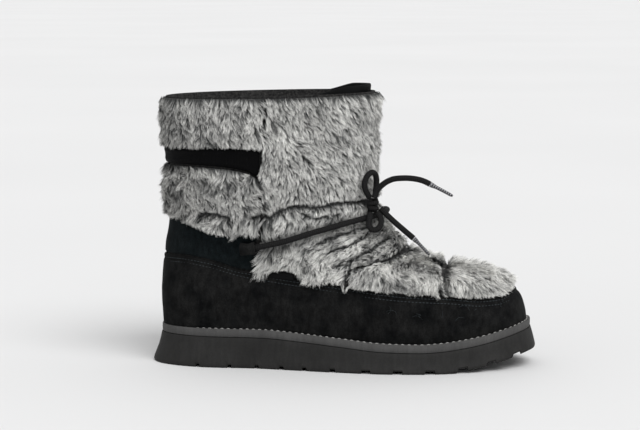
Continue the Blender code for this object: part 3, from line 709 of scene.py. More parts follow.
def rubber_paint(name, dark, light, grain_size):
    """Matt foamed rubber with a fine grain, streaks and rubbed spots."""
    paint = Paint(name, specular=0.12)
    cloud = paint.noise(22, 4.0, 0.6)
    grain = paint.noise(grain_size, 2.0, 0.6)
    streak = paint.noise(2.5, 2.0, 0.5, scale=(1, 1, 0.12))
    colour = paint.between(cloud, 0.3, 0.75, dark, light)
    colour = paint.tinted(colour, streak, (0.3, 0.9), (0.7, 1.1))
    colour = paint.tinted(colour, grain, (0.35, 0.86), (0.7, 1.14))
    normal = paint.bump(grain, 0.35, 0.2)
    return paint.shade(colour, paint.ramp(cloud, (0.3, 0.58), (0.7, 0.74)), normal)


def fleece_paint(name, dark, light):
    """Curly pile lining."""
    paint = Paint(name, sheen=0.05, specular=0.05)
    curl = paint.noise(1.8, 4.0, 0.75)
    tuft = paint.noise(5.0, 3.0, 0.6)
    colour = paint.between(curl, 0.35, 0.7, dark, light)
    colour = paint.tinted(colour, tuft, (0.3, 0.75), (0.7, 1.2))
    normal = paint.bump(tuft, 0.7, 1.5)
    normal = paint.bump(curl, 0.8, 0.8, normal)
    return paint.shade(colour, paint.ramp(curl, (0.3, 0.9), (0.7, 1.0)), normal)


def ribbed_paint(name, dark, light, rib):
    """Woven elastic: upright ribs crossed by fine weft rows."""
    paint = Paint(name, specular=0.06)
    upright = paint.wave(rib, "X")
    rows = paint.wave(rib * 0.6, "Y")
    weave = paint.math("MULTIPLY", upright, rows)
    cloud = paint.noise(9, 3.0, 0.6)
    colour = paint.between(weave, 0.1, 0.8, dark, light)
    colour = paint.tinted(colour, cloud, (0.3, 0.8), (0.7, 1.15))
    normal = paint.bump(upright, 0.6, 0.25)
    normal = paint.bump(rows, 0.4, 0.15, normal)
    return paint.shade(colour, paint.ramp(cloud, (0.2, 0.62), (0.8, 0.8)), normal)


def braid_paint(name, dark, light, strands):
    """Round braided cord, by the tube's own places: once round is 1 across."""
    paint = Paint(name, specular=0.10)
    split = paint.tree.nodes.new("ShaderNodeSeparateXYZ")
    paint.put(split.inputs["Vector"], paint.places.outputs["UV"])
    round_share = paint.math("MULTIPLY", split.outputs["X"], 2 * np.pi * strands)
    along = paint.math("MULTIPLY", split.outputs["Y"], 2 * np.pi * strands * 0.8)
    one = paint.math("SINE", paint.math("ADD", round_share, along))
    two = paint.math("SINE", paint.math("SUBTRACT", round_share, along))
    weave = paint.math("MULTIPLY", one, two)
    weave = paint.math("ADD", paint.math("MULTIPLY", weave, 0.5), 0.5)
    fibre = paint.noise(0.5, 3.0, 0.7)
    colour = paint.between(weave, 0.15, 0.85, dark, light)
    colour = paint.tinted(colour, fibre, (0.3, 0.7), (0.7, 1.3))
    normal = paint.bump(weave, 0.8, 0.5)
    normal = paint.bump(fibre, 0.4, 0.15, normal)
    return paint.shade(colour, paint.ramp(fibre, (0.3, 0.7), (0.7, 0.9)), normal)


def tip_paint(name):
    """Dark metal with fine wound rings and rubbed crowns."""
    paint = Paint(name, metallic=0.9, specular=0.5)
    rings = paint.wave(0.14, "Y", per_unit=1)
    rub = paint.noise(1.2, 3.0, 0.6)
    colour = paint.between(rings, 0.2, 0.8, (0.02, 0.02, 0.022), (0.26, 0.26, 0.27))
    colour = paint.tinted(colour, rub, (0.3, 0.8), (0.7, 1.1))
    normal = paint.bump(rings, 0.7, 0.2)
    return paint.shade(colour, paint.ramp(rub, (0.3, 0.28), (0.7, 0.42)), normal)


def thread_paint(name, dark, light):
    paint = Paint(name, specular=0.3)
    ply = paint.noise(0.5, 2.0, 0.6)
    wear = paint.noise(7, 3.0, 0.6)
    colour = paint.between(ply, 0.3, 0.7, dark, light)
    colour = paint.tinted(colour, wear, (0.3, 0.75), (0.7, 1.15))
    return paint.shade(colour, paint.ramp(ply, (0.3, 0.6), (0.7, 0.8)), paint.bump(ply, 0.5, 0.2))


def pelt_paint(name):
    """The dark undercoat between the locks."""
    paint = Paint(name, specular=0.05)
    fine = paint.noise(0.7, 4.0, 0.8)
    patch_noise = paint.noise(6, 3.0, 0.6)
    colour = paint.between(fine, 0.4, 0.7, (0.016, 0.017, 0.018), (0.16, 0.16, 0.155))
    colour = paint.tinted(colour, patch_noise, (0.3, 0.7), (0.7, 1.2))
    normal = paint.bump(fine, 0.9, 1.0)
    return paint.shade(colour, paint.ramp(fine, (0.3, 0.85), (0.7, 1.0)), normal)


def hair_paint(name):
    """Hairs take their tone from root to tip from the mesh."""
    paint = Paint(name, specular=0.12)
    tone = paint.tree.nodes.new("ShaderNodeAttribute")
    tone.attribute_name = "tone"
    grain = paint.noise(0.8, 2.0, 0.6)
    colour = paint.tinted(tone.outputs["Color"], grain, (0.3, 0.85), (0.7, 1.1))
    return paint.shade(colour, paint.ramp(grain, (0.3, 0.55), (0.7, 0.75)), paint.bump(grain, 0.3, 0.1))


suede = suede_paint("suede_black", (0.0036, 0.0040, 0.0043), (0.0150, 0.0150, 0.0147))
suede_cool = suede_paint("suede_heel", (0.0040, 0.0062, 0.0070), (0.0090, 0.0118, 0.0128))
outsole_rubber = rubber_paint("outsole_rubber", (0.018, 0.0178, 0.0175), (0.029, 0.0286, 0.028), 0.6)
welt_rubber = rubber_paint("welt_rubber", (0.062, 0.0615, 0.061), (0.088, 0.087, 0.086), 0.5)
fleece = fleece_paint("lining_fleece", (0.010, 0.010, 0.011), (0.060, 0.059, 0.057))
elastic_paint = ribbed_paint("elastic_weave", (0.0012, 0.0012, 0.0014), (0.0040, 0.0040, 0.0045), 1.1)
label_paint = ribbed_paint("label_weave", (0.003, 0.003, 0.0033), (0.014, 0.014, 0.015), 0.5)
tongue_paint = ribbed_paint("tongue_cloth", (0.004, 0.0043, 0.0046), (0.012, 0.0125, 0.013), 0.7)
cord_paint = braid_paint("cord_braid", (0.0032, 0.0032, 0.0036), (0.022, 0.0215, 0.0215), 6)
metal_paint = tip_paint("tip_metal")
pale_thread = thread_paint("welt_thread", (0.21, 0.207, 0.20), (0.42, 0.415, 0.40))
dark_thread = thread_paint("suede_thread", (0.017, 0.023, 0.026), (0.045, 0.056, 0.062))
undercoat = pelt_paint("fur_undercoat")
hair = hair_paint("fur_hair")


# Camera
VIEW_TURN, VIEW_RISE, VIEW_AWAY, VIEW_LENS = 6.8, 6.5, 1.564, 120.0
VIEW_AT = (-0.0173, 0.0, 0.1077)


def make_camera():
    turn, rise = np.radians((VIEW_TURN, VIEW_RISE))
    back = np.array((np.sin(turn) * np.cos(rise), -np.cos(turn) * np.cos(rise), np.sin(rise)))
    lens = bpy.data.cameras.new("camera")
    lens.lens = VIEW_LENS
    lens.sensor_width = 36.0
    lens.clip_start, lens.clip_end = 0.01, 50.0
    camera = placed("camera", lens)
    camera.location = np.array(VIEW_AT) + back * VIEW_AWAY
    camera.rotation_euler = (np.pi / 2 - rise, 0.0, turn)
    bpy.context.scene.camera = camera


def make_tip(name, way, reach, turns=22):
    """A lace tip: a slim tube with wound rings and a rounded end."""
    line = swept(knot_centre() + np.array(way) * reach, turns)
    share = np.linspace(0, 1, turns)
    radius = np.interp(share, (0, 0.12, 0.25, 0.9, 1.0), (0.92, 0.80, 0.60, 0.56, 0.34)) * LACE / 2
    made = object_of(name, *tube_arrays(line, radius, 16))
    return dressed(made, metal_paint, "metal_tip", name)


def make_cord(name, line, node):
    made = object_of(name, *tube_arrays(line, LACE / 2, 14))
    return dressed(made, cord_paint, "cord", node)


def make_free_cord(name, way, reach, steps):
    line = swept(knot_centre() + np.array(way) * reach, steps)
    made = make_cord(name, line, name)


def make_knot():
    """The bow's knot: two cords side by side with a third drawn round them."""
    centre = knot_centre()
    radius = LACE / 2
    parts = []
    for side in (-1, 1):
        line = [
            centre + np.array((side * 1.7 + 0.5 * t, 0.2 * side - 0.8 * t, KNOT_HALF * t))
            for t in np.linspace(-1, 1, 9)
        ]
        parts.append(tube_arrays(line, radius * 0.82, 12))
    turn = np.linspace(0, 2 * np.pi, 25)
    for lift, tilt in ((1.7, 0.22), (-1.8, -0.16)):
        ring = np.stack((3.0 * np.cos(turn), 2.7 * np.sin(turn), lift + 3.0 * tilt * np.cos(turn)), -1)
        parts.append(tube_arrays(centre + ring, radius * 0.72, 12))
    made = object_of("knot", *joined_arrays(parts))
    return dressed(made, cord_paint, "cord", "lace_knot")


def make_lace():
    knot = make_knot()
    upper_tip = make_tip("aglet_upper", UPPER_TIP, UPPER_REACH)
    lower_tip = make_tip("aglet_lower", LOWER_TIP, LOWER_REACH)
    make_free_cord("lace_end_upper", UPPER_END, UPPER_REACH, 60)
    make_free_cord("lace_end_lower", LOWER_END, LOWER_REACH, 44)
    make_free_cord("lace_loop_up", UP_LOOP, LOOP_UP, 80)
    make_free_cord("lace_loop_down", DOWN_LOOP, LOOP_DOWN, 60)
    line = lifted(onto_shell(smoothed(lace_path(), 150)), LACE_LIFT)
    make_cord("lace_run", line, "lace_wrap")


make_camera()
make_lace()


# Sole pieces
def loops_piece(name, loops, paint, slot, node, sharp=40):
    """A solid of stacked loops, closed below and above by rungs from side to side."""
    count = len(loops[0])
    grid = np.stack(loops)
    faces, row, column = grid_faces(len(loops), count, 0, True)
    tiles = grid_tiles(grid, row, column, True)
    rungs = []
    flat = grid.reshape(-1, 3)
    for start, turned in ((0, False), ((len(loops) - 1) * count, True)):
        for c in (*range(1, count // 2 - 1), 0, count // 2 - 1):
            corners = (c, c + 1, (count - c - 1) % count, (count - c) % count)
            rung = [start + corner for corner in dict.fromkeys(corners)]
            rungs.append(rung[::-1] if turned else rung)
    all_faces = [list(face)[::-1] for face in faces] + [face[::-1] for face in rungs]
    corner_tiles = [tiles[:, ::-1].reshape(-1, 2)]
    corner_tiles += [flat[face[::-1]][:, :2] / 1000 for face in rungs]
    made = object_of(name, flat, all_faces, np.concatenate(corner_tiles), sharp)
    return dressed(made, paint, slot, node)


def make_outsole():
    stations = sole_stations(140)
    places = (stations - 0.5) * SOLE_LENGTH
    raised = np.array([GROOVE_DEEP if in_groove(x) else 0.0 for x in places])
    raised = np.concatenate((raised, raised[1:-1][::-1]))

    def ground(along):
        return smooth(along, SOLE["along"], SOLE["ground"])

    def under_welt(along):
        return welt_line(along) - WELT_THICK - GAP

    def between(share):
        return lambda x: ground(x) + (under_welt(x) - ground(x)) * share

    loops = []
    for heel_in, toe_in, grow, height_at, share in (
        (1.3, 0.9, SOLE_FLARE - 1.2, ground, 1),
        (0.5, 0.35, SOLE_FLARE - 0.45, lambda x: ground(x) + 0.4, 1),
        (0.0, 0.0, SOLE_FLARE, lambda x: ground(x) + 1.3, 1),
        (0.5, 0.2, SOLE_FLARE - 0.25, between(0.16), 0.6),
        (2.1, 0.9, SOLE_FLARE - 1.1, between(0.34), 0),
        (3.9, 1.7, SOLE_FLARE - 2.1, between(0.55), 0),
        (5.2, 2.7, WELT_LEDGE + 0.95, between(0.78), 0),
        (6.0, 3.5, WELT_LEDGE + 0.45, between(0.95), 0),
        (HEEL_INSET, TOE_INSET, WELT_LEDGE + 0.1, under_welt, 0),
    ):
        loop = sole_loop(stations, heel_in, toe_in, grow, height_at)
        loop[:, 2] += raised * share
        loops.append(loop)
    loops_piece("outsole_block", loops, outsole_rubber, "rubber", "outsole")


def make_welt():
    stations = even_stations(130)
    loops = []
    for inset, down in ((0.5, 1.0), (0.1, 0.93), (0.0, 0.5), (0.05, 0.12), (0.45, 0.0), (2.3, 0.0)):
        loop = sole_loop(stations, HEEL_INSET + inset, TOE_INSET + inset, WELT_LEDGE - inset, welt_line)
        loop[:, 2] -= WELT_THICK * down
        loops.append(loop)
    loops_piece("welt_strip", loops, welt_rubber, "welt_rubber", "welt", 60)


STITCH_RISE = (-0.56, 0.0, 0.192, 0.0, -0.56)
STITCH_ROUND = (0.4, 0.9, 1.0, 0.9, 0.4)


def stitch_row(name, line, out, pitch, share, wide, paint, slot):
    """Stitches along a line of points, each a small sunk loaf of thread."""
    run = run_of(line, False)
    count = int(run[-1] / pitch)
    parts = []
    for k in range(count):
        at = np.linspace((k + 0.5 - share / 2) * pitch, (k + 0.5 + share / 2) * pitch, 5)
        rise = np.array(STITCH_RISE)[:, None] * wide
        spine = sampled(at, run, line) + sampled(at, run, out) * rise
        parts.append(tube_arrays(spine, np.array(STITCH_ROUND) * wide / 2, len(STITCH_RISE)))
    made = object_of(name, *joined_arrays(parts))
    return dressed(made, paint, slot)


def make_welt_stitches():
    stations = even_stations(300)
    inset = 2.2
    loop = sole_loop(stations, HEEL_INSET + inset, TOE_INSET + inset, WELT_LEDGE - inset, welt_line)
    loop = np.concatenate((loop, loop[:1])) + (0, 0, 0.15)
    out = np.zeros_like(loop) + (0, 0, 1)
    stitch_row("welt_stitches", loop, out, 4.6, 0.62, 0.85, pale_thread, "welt_rubber")


make_outsole()
make_welt()
make_welt_stitches()


# Soft variation in code
def wavy(points, size, seed, waves=9):
    """Smooth seeded noise of about this many millimetres, mostly between -1 and 1."""
    chance = np.random.default_rng(seed)
    total = np.zeros(points.shape[:-1])
    for _ in range(waves):
        way = chance.normal(size=3)
        way *= 2 * np.pi / (size * 2.2) * chance.uniform(0.7, 1.4) / np.linalg.norm(way)
        total += np.sin(points @ way + chance.uniform(0, 2 * np.pi))
    return total / np.sqrt(waves / 1.6)


def from_edges(grid, *edges):
    """How far each point is from the nearest of these edges."""
    return np.minimum.reduce([np.linalg.norm(grid - line, axis=-1) for line in edges])


def from_rim(grid):
    return from_edges(grid, grid[:1], grid[-1:], grid[:, :1], grid[:, -1:])


def rolled(distance, radius):
    """How full a sheet is this far from its edge, rounding over the edge."""
    t = np.clip(distance / radius, 0, 1)
    return np.sqrt(np.clip(1 - (1 - t) ** 2, 0, 1))


# Suede pieces
def make_mudguard():
    shares = np.concatenate((np.linspace(0, 0.9, 22), np.linspace(0.92, 1.0, 9)))

    def share_line(share):
        def height_at(along):
            low, high = welt_line(along) + GAP, seam_line(along)
            return low + (high - low) * share

        return loop_on_line(height_at, 110)

    grid = np.stack([share_line(share) for share in shares])
    low = lifted(grid, MUDGUARD_SEAT)
    edge_gap = np.linalg.norm(grid - grid[-1][None], axis=-1)
    full = 0.35 + 0.65 * rolled(edge_gap, 1.3)
    dents = 0.35 * wavy(grid, 26, 4) * np.clip(edge_gap / 14, 0, 1) + 0.12 * wavy(grid, 8, 5)
    tuck = 0.5 * np.exp(-(((edge_gap - 3.4) / 1.3) ** 2))
    high = lifted(grid, MUDGUARD_SEAT + (SUEDE_THICK + dents - tuck) * full)
    for face in (low, high):
        face[0, :, 2] = welt_line(face[0, :, 0]) + 0.1
    dressed(sheet_solid("mudguard_suede", low, high, True), suede, "suede", "mudguard")


def seam_run(down, side):
    """Points this far down from the mudguard's top edge, lying on it, and the shell's outward way there."""
    along = np.linspace(-0.93, 0.86, 160) * HALF_SOLE
    line = side_point(along, seam_line(along) - down, side)
    return lifted(onto_shell(line), MUDGUARD_SEAT + SUEDE_THICK - 0.15), outward(line)


def make_suede_stitches():
    """Two rows round the mudguard's top edge."""
    for k, down in enumerate((2.4, 5.0)):
        outer, outer_way = seam_run(down, OUTER)
        inner, inner_way = seam_run(down, INNER)
        line = np.concatenate((outer[::-1], inner))
        way = np.concatenate((outer_way[::-1], inner_way))
        stitch_row(f"mudguard_stitches_{k + 1}", line, way, 2.6, 0.7, 0.5, dark_thread, "suede")


def make_counter():
    start = both_sides([seam_mark(x) for x in (-0.423, -0.534, -0.662, -0.804)], seam_mark(-0.94, 0.9))
    end = both_sides(HEEL_EDGE, HEEL_EDGE_BACK)
    grid = patch(start, end, 24, 140)
    edges = from_rim(grid)
    dents = 0.3 * wavy(grid, 18, 14) * np.clip(edges / 8, 0, 1)
    high = COUNTER_SEAT + (SUEDE_THICK + dents) * (0.4 + 0.6 * rolled(edges, 1.2))
    dressed(shell_sheet("heel_suede", grid, COUNTER_SEAT, high), suede_cool, "suede", "heel_counter")


def make_suede_fluff():
    """A few loose hairs caught on the mudguard's nap."""
    chance = np.random.default_rng(88)
    parts = []
    for _ in range(46):
        side = OUTER if chance.uniform() < 0.5 else INNER
        along = chance.uniform(-0.55, 0.84)
        height = float(seam_mark(along)[1]) - chance.uniform(0.01, 0.10)
        start = mark_point(along, height, side)
        turn, curl, long = chance.uniform(0, np.pi), chance.uniform(-1.6, 1.6), chance.uniform(3, 8)
        t = np.linspace(0, 1, 7)
        at = turn + curl * t
        line = start + long * np.stack((np.cos(at) * t, 0 * t, np.sin(at) * t * 0.8), -1)
        line = lifted(onto_shell(line), COUNTER_SEAT + SUEDE_THICK + 0.25 + 0.3 * np.sin(np.pi * t))
        parts.append(tube_arrays(line, np.linspace(0.11, 0.05, 7), 3))
    dressed(object_of("suede_fluff", *joined_arrays(parts)), dark_thread, "fur")


make_mudguard()
make_suede_stitches()
make_suede_fluff()
make_counter()


# Upper, elastic, tongue, label and lace tunnels
def make_lined_upper():
    levels = np.array(LEVELS)
    at = np.linspace(0, len(levels) - 1, 52)
    rows = np.stack([smooth(at, np.arange(len(levels)), levels[:, k]) for k in range(3)], -1)
    outside = np.stack([level_loop(*row, pairs=80) for row in rows])
    outside[0, :, 2] = welt_line(outside[0, :, 0]) + GAP
    ways = outward(outside)
    ways[0, :, 2] = 0
    ways = unit(ways)
    down = np.linspace(0, 1, len(rows))[::-1] * SHAFT_TALL * 0.85
    full = 0.3 + 0.7 * rolled(down, 1.4)[:, None, None]
    inside = outside - ways * WALL * full
    inside -= ways * (0.35 * wavy(outside, 7, 21))[..., None] * (full - 0.3)
    dressed(sheet_solid("upper_lining", inside, outside - ways * 0.05, True), fleece, "lining", "upper")


def make_elastic_band():
    high = moved(((-0.389, 0.812), *TRIM_FOOT[1:], (-0.826, 0.807)), 0.0, -1.2)
    low = moved(CUFF_TOP, 0.0, 1.5)
    grid = patch(both_sides(high, (-0.925, 0.799)), both_sides(low, (-0.911, 0.7385)), 26, 160)
    edges = from_edges(grid, grid[:1], grid[-1:])
    ridge = 0.35 * np.exp(-(((edges - 3.0) / 1.2) ** 2))
    high_lift = 0.6 + (1.7 + ridge) * (0.35 + 0.65 * rolled(edges, 1.2)) + 0.25 * wavy(grid, 16, 31)
    dressed(shell_sheet("elastic", grid, 0.6, high_lift), elastic_paint, "webbing", "elastic_band")


def make_tongue_top():
    low = ((-0.100, 0.864), (0.057, 0.864))
    high = ((-0.085, 0.996), (0.057, 1.021))
    grid = patch(both_sides(high, (0.157, 1.025)), both_sides(low, (0.142, 0.864)), 24, 60)
    middle = -WALL - GAP - 1.1
    edges = from_edges(grid, grid[:1], grid[:, :1], grid[:, -1:])
    half = 0.9 * (0.3 + 0.7 * rolled(edges, 1.1))
    middle = middle + 0.5 * wavy(grid, 14, 41) * np.clip(edges / 6, 0, 1) - 0.5
    made = shell_sheet("tongue_top", grid, middle - half, middle + half)
    dressed(made, tongue_paint, "suede", "tongue")


def make_side_label():
    top = on_side(((-0.391, 0.357), (-0.221, 0.350)), OUTER)
    foot = on_side(((-0.391, 0.331), (-0.221, 0.324)), OUTER)
    grid = patch(top, foot, 12, 50)
    low = 2.8 + 0.25 * wavy(grid, 9, 51)
    high = low + 0.9 * (0.4 + 0.6 * rolled(from_rim(grid), 0.6))
    dressed(shell_sheet("label_strip", grid, low, high), label_paint, "label", "side_label")


def make_tunnel(name, node, side):
    """A suede tunnel on the ankle that holds the lace."""
    marks = [(x, float(lace_line(x * HALF_SOLE)) / SHAFT_TALL) for x in (-0.492, -0.455, -0.415)]
    line = onto_shell(smoothed([mark_point(x, z, side) for x, z in marks], 24))
    ahead = unit(np.gradient(line, axis=0))
    out = outward(line)
    up = np.cross(out, ahead) * (1 if side == INNER else -1)
    turn = np.linspace(0, 2 * np.pi, 48, endpoint=False)
    hole = LACE / 2 + 0.5
    flare = 1 + 0.06 * np.cos(np.linspace(0, 2 * np.pi, len(line)))
    rings = []
    for reach_up, reach_out in ((hole, hole), (4.3, 3.9)):
        rise = np.cos(turn) * reach_up
        lift = np.sin(turn) * reach_out
        if reach_up > hole:
            lift = np.where(lift < 0, lift * (LACE_LIFT - 2.2) / reach_out, lift)
        centre = line + out * LACE_LIFT
        ring = centre[:, None] + up[:, None] * rise[None, :, None] * flare[:, None, None]
        rings.append(ring + out[:, None] * lift[None, :, None])
    inner, outer = rings
    dressed(sheet_solid(name, inner, outer, True), suede, "suede", node)


make_lined_upper()
make_elastic_band()
make_tongue_top()
make_side_label()
make_tunnel("tunnel_outer", "lace_tab_outer", OUTER)
make_tunnel("tunnel_inner", "lace_tab_inner", INNER)
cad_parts["insole"].data.materials.clear()
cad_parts["insole"].data.materials.append(fleece)


# Fur
# Folds: how wide and deep in millimetres, how much painted shade darkens the hair there as a share (below 0
# it is painted light, a brighter band), then marks. Below 0 deep is a ridge.
FOLDS = (
    (2.3, 3.6, 1.0, (
        (-0.421, 0.553), (-0.344, 0.557), (-0.300, 0.574), (-0.277, 0.587), (-0.205, 0.592),
        (-0.153, 0.586), (-0.024, 0.602), (0.144, 0.598),
    )),
    (1.3, 1.8, 0.9, ((-0.190, 0.566), (-0.140, 0.554), (-0.080, 0.551), (0.000, 0.560))),
    (2.2, 3.2, 1.0, ((-0.705, 0.555), (-0.650, 0.561), (-0.600, 0.554), (-0.545, 0.545))),
    (1.4, 2.6, 1.0, ((0.057, 0.396), (0.060, 0.355), (0.059, 0.317))),
    (1.2, 1.8, 0.9, ((-0.015, 0.375), (0.020, 0.379), (0.056, 0.376))),
    (2.3, 3.4, 1.0, ((0.058, 0.355), (0.142, 0.372), (0.215, 0.386), (0.282, 0.398), (0.341, 0.435))),
    (2.4, 3.6, 1.0, ((0.523, 0.378), (0.524, 0.349), (0.543, 0.307), (0.560, 0.273))),
    (1.6, 2.0, 0.9, ((0.060, 0.393), (0.123, 0.416), (0.185, 0.438), (0.236, 0.458))),
    (1.5, 1.8, 0.8, ((-0.037, 0.432), (0.052, 0.452), (0.129, 0.477), (0.166, 0.496))),
    (1.5, 1.6, 0.8, ((-0.108, 0.460), (-0.018, 0.478), (0.069, 0.497), (0.136, 0.511))),
    (9.0, -2.4, 0.0, ((-0.880, 0.645), (-0.765, 0.639), (-0.600, 0.626), (-0.443, 0.618))),
    (5.0, -1.2, 0.0, ((-0.768, 0.528), (-0.630, 0.519), (-0.498, 0.504), (-0.384, 0.502))),
    (4.0, -1.0, 0.0, ((-0.300, 0.536), (-0.150, 0.553), (0.020, 0.568))),
    (5.0, -1.0, 0.0, ((0.160, 0.350), (0.280, 0.362), (0.400, 0.355))),
    (6.0, -1.2, 0.0, ((0.600, 0.320), (0.700, 0.320), (0.780, 0.310))),
    # The rows from here on paint shade under the lace, by the ankle, along the fur's foot and below the
    # lace's front. Where dark is below 0 they paint light: brighter bands below and above the lace and on
    # the shaft.
    (3.4, 0.5, 0.62, ((-0.400, 0.434), (-0.241, 0.450), (-0.098, 0.472), (0.035, 0.492))),
    (3.5, 0.0, 0.45, ((-0.350, 0.540), (-0.250, 0.560), (-0.160, 0.568))),
    (4.5, 0.0, 0.45, ((0.150, 0.345), (0.210, 0.325))),
    (3.5, 0.0, 0.50, ((0.284, 0.306), (0.349, 0.299))),
    (3.5, 0.0, 0.55, ((0.485, 0.281), (0.555, 0.276))),
    (3.0, 0.0, 0.55, ((0.640, 0.276), (0.720, 0.274), (0.790, 0.276))),
    (5.0, 0.0, 0.40, ((0.160, 0.470), (0.210, 0.450), (0.290, 0.425))),
    (10.0, 0.0, -0.60, ((-0.330, 0.395), (-0.240, 0.400), (-0.130, 0.375), (-0.080, 0.350))),
    (5.0, 0.0, -0.30, ((-0.300, 0.530), (-0.150, 0.545), (0.080, 0.562))),
    (9.0, 0.0, -0.30, ((-0.250, 0.850), (-0.200, 0.700), (-0.050, 0.660))),
)
# Places in that table of the two folds that run over the middle of the boot
ANKLE_FOLD, TOE_FOLD = 0, 6

# Flow of the hair: where, then its way ahead, outwards and up
FLOW = (
    (0.058, 0.940, 0.45, 0.00, -0.90),
    (-0.186, 0.800, 0.70, 0.00, -0.70),
    (-0.263, 0.674, 0.00, 0.00, -1.00),
    (-0.330, 0.780, 0.05, 0.00, -1.00),
    (-0.039, 0.726, 0.62, 0.00, -0.78),
    (0.149, 0.790, 0.25, 0.00, -0.97),
    (0.009, 0.635, 0.10, 0.00, -1.00),
    (-0.855, 0.659, 0.70, 0.00, -0.70),
    (-0.625, 0.670, 0.30, 0.00, -0.95),
    (-0.442, 0.655, 0.45, 0.00, -0.88),
    (-0.710, 0.594, 0.25, 0.00, -0.97),
    (-0.630, 0.523, 0.25, 0.00, -0.97),
    (-0.445, 0.516, 0.15, 0.00, -1.00),
    (-0.600, 0.930, 0.20, 0.00, -1.00),
    (-0.040, 0.574, -0.05, 0.00, -1.00),
    (-0.294, 0.418, -0.05, 0.20, -1.00),
    (-0.410, 0.388, -0.55, 0.20, -0.85),
    (-0.139, 0.348, 0.10, 0.20, -1.00),
    (-0.013, 0.456, -0.80, 0.30, -0.45),
    (0.120, 0.450, -0.85, 0.30, -0.40),
    (0.212, 0.417, -0.70, 0.40, -0.50),
    (0.198, 0.320, 0.20, 0.40, -0.90),
    (0.320, 0.300, 0.65, 0.40, -0.60),
    (0.395, 0.352, 0.25, 0.60, -0.85),
    (0.300, 0.380, 0.10, 0.60, -0.90),
    (0.470, 0.300, 0.40, 0.40, -0.85),
    (0.596, 0.331, 0.60, 0.60, -0.60),
    (0.651, 0.300, 0.35, 0.60, -0.90),
    (0.740, 0.330, 0.85, 0.60, -0.35),
    (0.818, 0.300, 0.80, 0.50, -0.55),
)

# Fluffy tufts: where, how wide, how far their hairs hang over the piece's edge in millimetres,
# how much longer they are, and their way ahead, outwards and up
TUFTS = (
    (-0.395, 0.384, 8.5, 16.0, 0.95, -0.82, 0.15, -0.55),
    (-0.385, 0.352, 7.0, 14.0, 0.75, -0.80, 0.15, -0.62),
    (-0.135, 0.345, 8.0, 7.0, 0.35, 0.10, 0.20, -1.00),
    (-0.492, 0.478, 5.0, 12.0, 0.75, 0.55, 0.20, -0.83),
    (-0.440, 0.500, 6.0, 6.0, 0.30, 0.15, 0.10, -1.00),
    (-0.410, 0.665, 7.0, 6.0, 0.30, 0.75, 0.00, -0.65),
    (-0.410, 0.600, 7.0, 6.0, 0.30, 0.75, 0.00, -0.65),
    (-0.410, 0.540, 7.0, 6.0, 0.30, 0.55, 0.00, -0.83),
    (-0.395, 0.960, 8.0, 5.0, 0.20, 0.60, 0.00, -0.80),
    (-0.395, 0.880, 8.0, 5.0, 0.20, 0.55, 0.00, -0.83),
)

# How high the pelt lies over the shell
LIE, LOWEST_LIE = 3.0, 1.2
DARK_TONE, PALE_TONE = (0.020, 0.023, 0.024), (0.95, 0.945, 0.915)
# Painted fold shade darker than this marks the inside of a fold
IN_FOLD = 0.45

# Hairs of a lock
EACH = 8
# The lace's trough: from where to where along, its half width, depth and the painted shade that darkens the
# hair in it
TROUGH_BACK, TROUGH_FRONT, TROUGH_HALF, TROUGH_DEEP, TROUGH_PAINTED_SHADE = -66, 40, 4.0, 1.1, 0.35


def fold_lines():
    """Each fold's points on both sides. The ankle's and the toe's also run over the middle."""
    made = []
    for wide, deep, dark, marks in FOLDS:
        for side in (OUTER, INNER):
            line = smoothed([mark_point(x, z, side) for x, z in marks], max(12, 5 * len(marks)))
            shake = np.stack((wavy(line, 7, 71), np.zeros(len(line)), wavy(line, 5, 72)), -1)
            made.append((wide, deep, dark, onto_shell(line + 0.6 * shake)))
    for fold, end, rise in ((ANKLE_FOLD, -1, 0.0), (TOE_FOLD, 0, 6.0)):
        wide, deep, dark, outer = made[2 * fold]
        inner = made[2 * fold + 1][3]
        middle = (outer[end] + inner[end]) / 2 + (0, 0, rise)
        if end:
            middle = mark_point(1.0, 0.598, MIDDLE)
        made.append((wide, deep, dark, onto_shell(smoothed((outer[end], middle, inner[end]), 13))))
    return made


FOLD_LINES = fold_lines()


def distance_to(points, line):
    """Distance from each point to a line of points, within reach of its box."""
    best = np.full(len(points), 1e3)
    for a, b in zip(line[:-1], line[1:]):
        way = b - a
        t = np.clip(((points - a) @ way) / (way @ way), 0, 1)
        best = np.minimum(best, np.linalg.norm(points - a - t[:, None] * way, axis=1))
    return best


def near_lace(points, wide):
    """1 at the lace's height on the boot, fading this far above and below it."""
    return np.exp(-(((points[:, 2] - lace_line(points[:, 0])) / wide) ** 2))


def lie_and_shade(points):
    """How high the pelt lies over the shell, and the painted shade of its folds and the lace's trough
    (painted light where a fold's dark is below 0), at each point.
    """
    flat = points.reshape(-1, 3)
    lie = np.full(len(flat), LIE) + 0.35 * wavy(flat, 11, 61) + 0.25 * wavy(flat, 5, 62)
    light = np.ones(len(flat))
    for wide, deep, dark, line in FOLD_LINES:
        reach = 3.2 * wide
        low, high = line.min(0) - reach, line.max(0) + reach
        near = np.where(((flat > low) & (flat < high)).all(1))[0]
        if len(near) == 0:
            continue
        off = distance_to(flat[near], line)
        lie[near] -= deep * np.exp(-((off / wide) ** 2))
        # Painted shade along the fold, or painted light where dark is below 0
        if dark:
            light[near] *= 1 - dark * 0.85 * np.exp(-((off / (wide * 0.75)) ** 2))
    along = flat[:, 0]
    under = near_lace(flat, TROUGH_HALF) * ((along > TROUGH_BACK) & (along < TROUGH_FRONT))
    lie -= TROUGH_DEEP * under
    # Painted shade in the lace's trough
    light *= 1 - TROUGH_PAINTED_SHADE * under
    return np.maximum(lie, LOWEST_LIE).reshape(points.shape[:-1]), light.reshape(points.shape[:-1])


